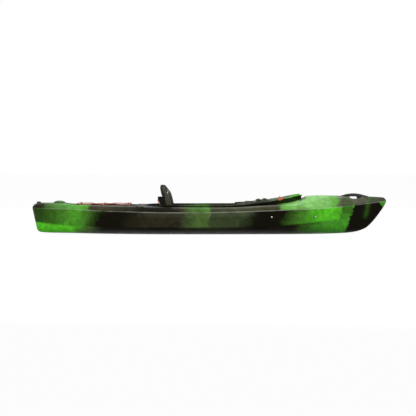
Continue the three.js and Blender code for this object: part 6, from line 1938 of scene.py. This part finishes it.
# %% [markdown]
# Behind the shell hangs a pouch for small gear. It is a sewn bag, deepest at its open mouth and
# shallow at its foot, gathered by an elastic hem. Rings go up its outside, over the hem and a
# little way down inside, so its mouth is really open.

# %% Rear pouch
POUCH_LOW, POUCH_HIGH, POUCH_DEEP, POUCH_HALF = 0.2, 0.68, 46, 0.5
pouch_depth = smooth([(0, 0.16), (0.06, 0.42), (0.3, 0.64), (0.62, 0.86), (0.85, 1), (1, 0.97)])


def pouch_point(u, v, inset=0.0):
    """u across from -1 to 1, v up from 0 to 1; inset moves the point inside the bag."""
    height = mixed(POUCH_LOW, POUCH_HIGH, v)
    depth = POUCH_DEEP * pouch_depth(v) * max(0, 1 - abs(u) ** 5) ** 0.45
    gather = 1.3 * cos(pi * 11 * u) * eased(v * 1.6 - 0.5) * (1 - u * u)
    sag = 2.2 * sin(pi * 2.5 * v) * (1 - u * u)
    return back_point(u * (POUCH_HALF - 0.004 * inset), height, -0.8 - max(0, depth + gather + sag - inset))


def pouch_ring(v, inset=0.0):
    us, height = spread(36), mixed(POUCH_LOW, POUCH_HIGH, v)
    on_shell = [back_point(u * POUCH_HALF * (1 - 0.008 * inset), height, -0.8 - inset * 0.4) for u in us]
    return [pouch_point(u, v, inset) for u in us] + on_shell[::-1]


bag = loft("rear_pouch_bag",
           [pouch_ring(v / 50) for v in range(51)] + [pouch_ring(1, 1), pouch_ring(0.99, 2.2)]
           + [pouch_ring(v / 50, 2.4) for v in range(49, 36, -1)])
finish(smooth_by_angle(bag, 60), pouch_weave, "backrest", "fabric", "rear_pouch")
for name, v, radius, count in (("rear_pouch_hem", 1, 2.6, 10), ("rear_pouch_seam", 0.03, 1.8, 8)):
    path = [pouch_point(u, v, 1) for u in spread(30)]
    finish(tube_mesh(name, path, radius, count), binding, "backrest", "fabric")

# %% [markdown]
# Webbing is a flat strap, so it is a thin section with eased corners, swept along a path and kept
# square to it. The pouch is opened by a short orange pull, the one bright spot on the backrest.

# %% Webbing helper, and the orange pull
STRAP_SECTION = ((-0.5, -0.3), (-0.48, -0.5), (0.48, -0.5), (0.5, -0.3), (0.5, 0.3), (0.48, 0.5),
                 (-0.48, 0.5), (-0.5, 0.3))
PULL = ((0.87, 2.2), (0.84, 2.2), (0.8, 5), (0.75, 6.5), (0.7, 7), (0.65, 6.5), (0.61, 5), (0.585, 2.6))


def ribbon(name, path, width, thick, across):
    """A flat strap along a path; its width lies as near as it can to the direction across."""
    path, rings = [Vector(p) for p in path], []
    for i, p in enumerate(path):
        ahead = (path[min(i + 1, len(path) - 1)] - path[max(i - 1, 0)]).normalized()
        wide = Vector(across)
        wide = (wide - ahead * wide.dot(ahead)).normalized()
        up = ahead.cross(wide)
        rings.append([tuple(p + wide * (c * width) + up * (s * thick)) for c, s in STRAP_SECTION])
    return smooth_by_angle(loft(name, rings), 50)


pull_path = [pouch_point(0, v, -away) for v, away in PULL]
pull = ribbon("pouch_pull_webbing", curve_through(pull_path, 4), 18, 7, (0, 1, 0))
finish(pull, orange_webbing, "backrest", "bungee", "pouch_pull")

# %% [markdown]
# Webbing straps run from the wings to anchors inside the rim and hold the backrest up. Each crosses
# the recline hinge and is attached to no body, and a ladder buckle near the anchor takes up the
# length.

# %% Straps and buckles
STRAP_WIDE, STRAP_THICK, STRAP_SAG, BUCKLE_HALF, BUCKLE_OFF = 15, 1.6, 32, 11, 2.6
for side_name, side in SIDES.items():
    sx, sy, sz = back_point(0.93, 0.48, 4.3)
    start = Vector((sx + 1.6, side * (sy - 1.6), sz))
    end = Vector((-145.3, side * (rim_half(-130) - WALL - 3.3), 243.8))
    path = [start + (end - start) * t - Vector((0, 0, STRAP_SAG * t * (1 - t)))
            for t in (k / 30 for k in range(31))]
    strap = ribbon(f"backrest_strap_webbing_{side_name}", path, STRAP_WIDE, STRAP_THICK, (0, 0, 1))
    finish(strap, webbing, None, "fabric", f"backrest_strap_{side_name}")
    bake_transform(strap)
    middle, ahead = path[26] - Vector((0, side * BUCKLE_OFF, 0)), (path[27] - path[25]).normalized()
    ends = (-BUCKLE_HALF, BUCKLE_HALF)
    # The upright bars lean by a hair, as a sweep can't start straight along its own up direction.
    bars = [tube_mesh("bar", [middle + ahead * a + Vector((z / 50, 0, z)) for z in ends], 1.7, 10)
            for a in (-9, 0, 9)]
    bars += [tube_mesh("bar", [middle + ahead * a + Vector((0, 0, z)) for a in (-10.4, 10.4)], 1.9, 10)
             for z in ends]
    buckle = join(f"ladder_buckle_{side_name}", *bars)
    finish(smooth_by_angle(buckle, 40), black_nylon, "hull", "black_plastic")

# %% [markdown]
# Foam takes the knocks inside: a pad under the deck at each thigh, and a pillar that stands between
# floor and foredeck. Both are cut from closed-cell sheet, so they have crisp, lightly rounded edges
# and follow the hull's skin where they touch it.

# %% Thigh pads and bow pillar
THIGH_X, THIGH_Y, THIGH_LONG, THIGH_WIDE, THIGH_THICK, PLAY = 146, 291, 86, 35, 17, 0.5
PILLAR_REAR, PILLAR_FRONT, PILLAR_HALF = 860, 1090, 28
for side_name, side in SIDES.items():
    rings = []
    for out, share in ((-5, 0), (-1.2, 0.05), (0, 0.2), (0, 0.85), (-1.2, 0.97), (-3, 1)):
        ring = []
        for x, y in plan_of(THIGH_WIDE, THIGH_LONG, 8):
            px, py = THIGH_X + x * (1 + out / THIGH_LONG), THIGH_Y + y * (1 + out / THIGH_WIDE)
            roof = height_at(px, py, WALL) - PLAY
            ring.append((px, side * py, roof - THIGH_THICK * (1 - share)))
        rings.append(ring)
    pad = smooth_by_angle(loft(f"thigh_pad_foam_{side_name}", rings), 40)
    finish(pad, foam, "hull", "foam", f"thigh_pad_{side_name}")

rings = []
ends = [(PILLAR_REAR, 4), (PILLAR_REAR + 1.5, 1.4), (PILLAR_REAR + 5, 0)]
ends += [(x, 0) for x in range(PILLAR_REAR + 10, PILLAR_FRONT - 9, 10)]
ends += [(PILLAR_FRONT - 5, 0), (PILLAR_FRONT - 1.5, 1.4), (PILLAR_FRONT, 4)]
for x, shrink in ends:
    ys = [(PILLAR_HALF - shrink) * (k / 4 - 1) for k in range(9)]
    rings.append([(x, y, height_at(x, y, WALL) - PLAY - shrink) for y in ys]
                 + [(x, -y, height_at(x, y, WALL, False) + PLAY + shrink) for y in ys])
finish(smooth_by_angle(loft("bow_pillar_foam", rings), 40), foam, "hull", "foam", "bow_pillar")
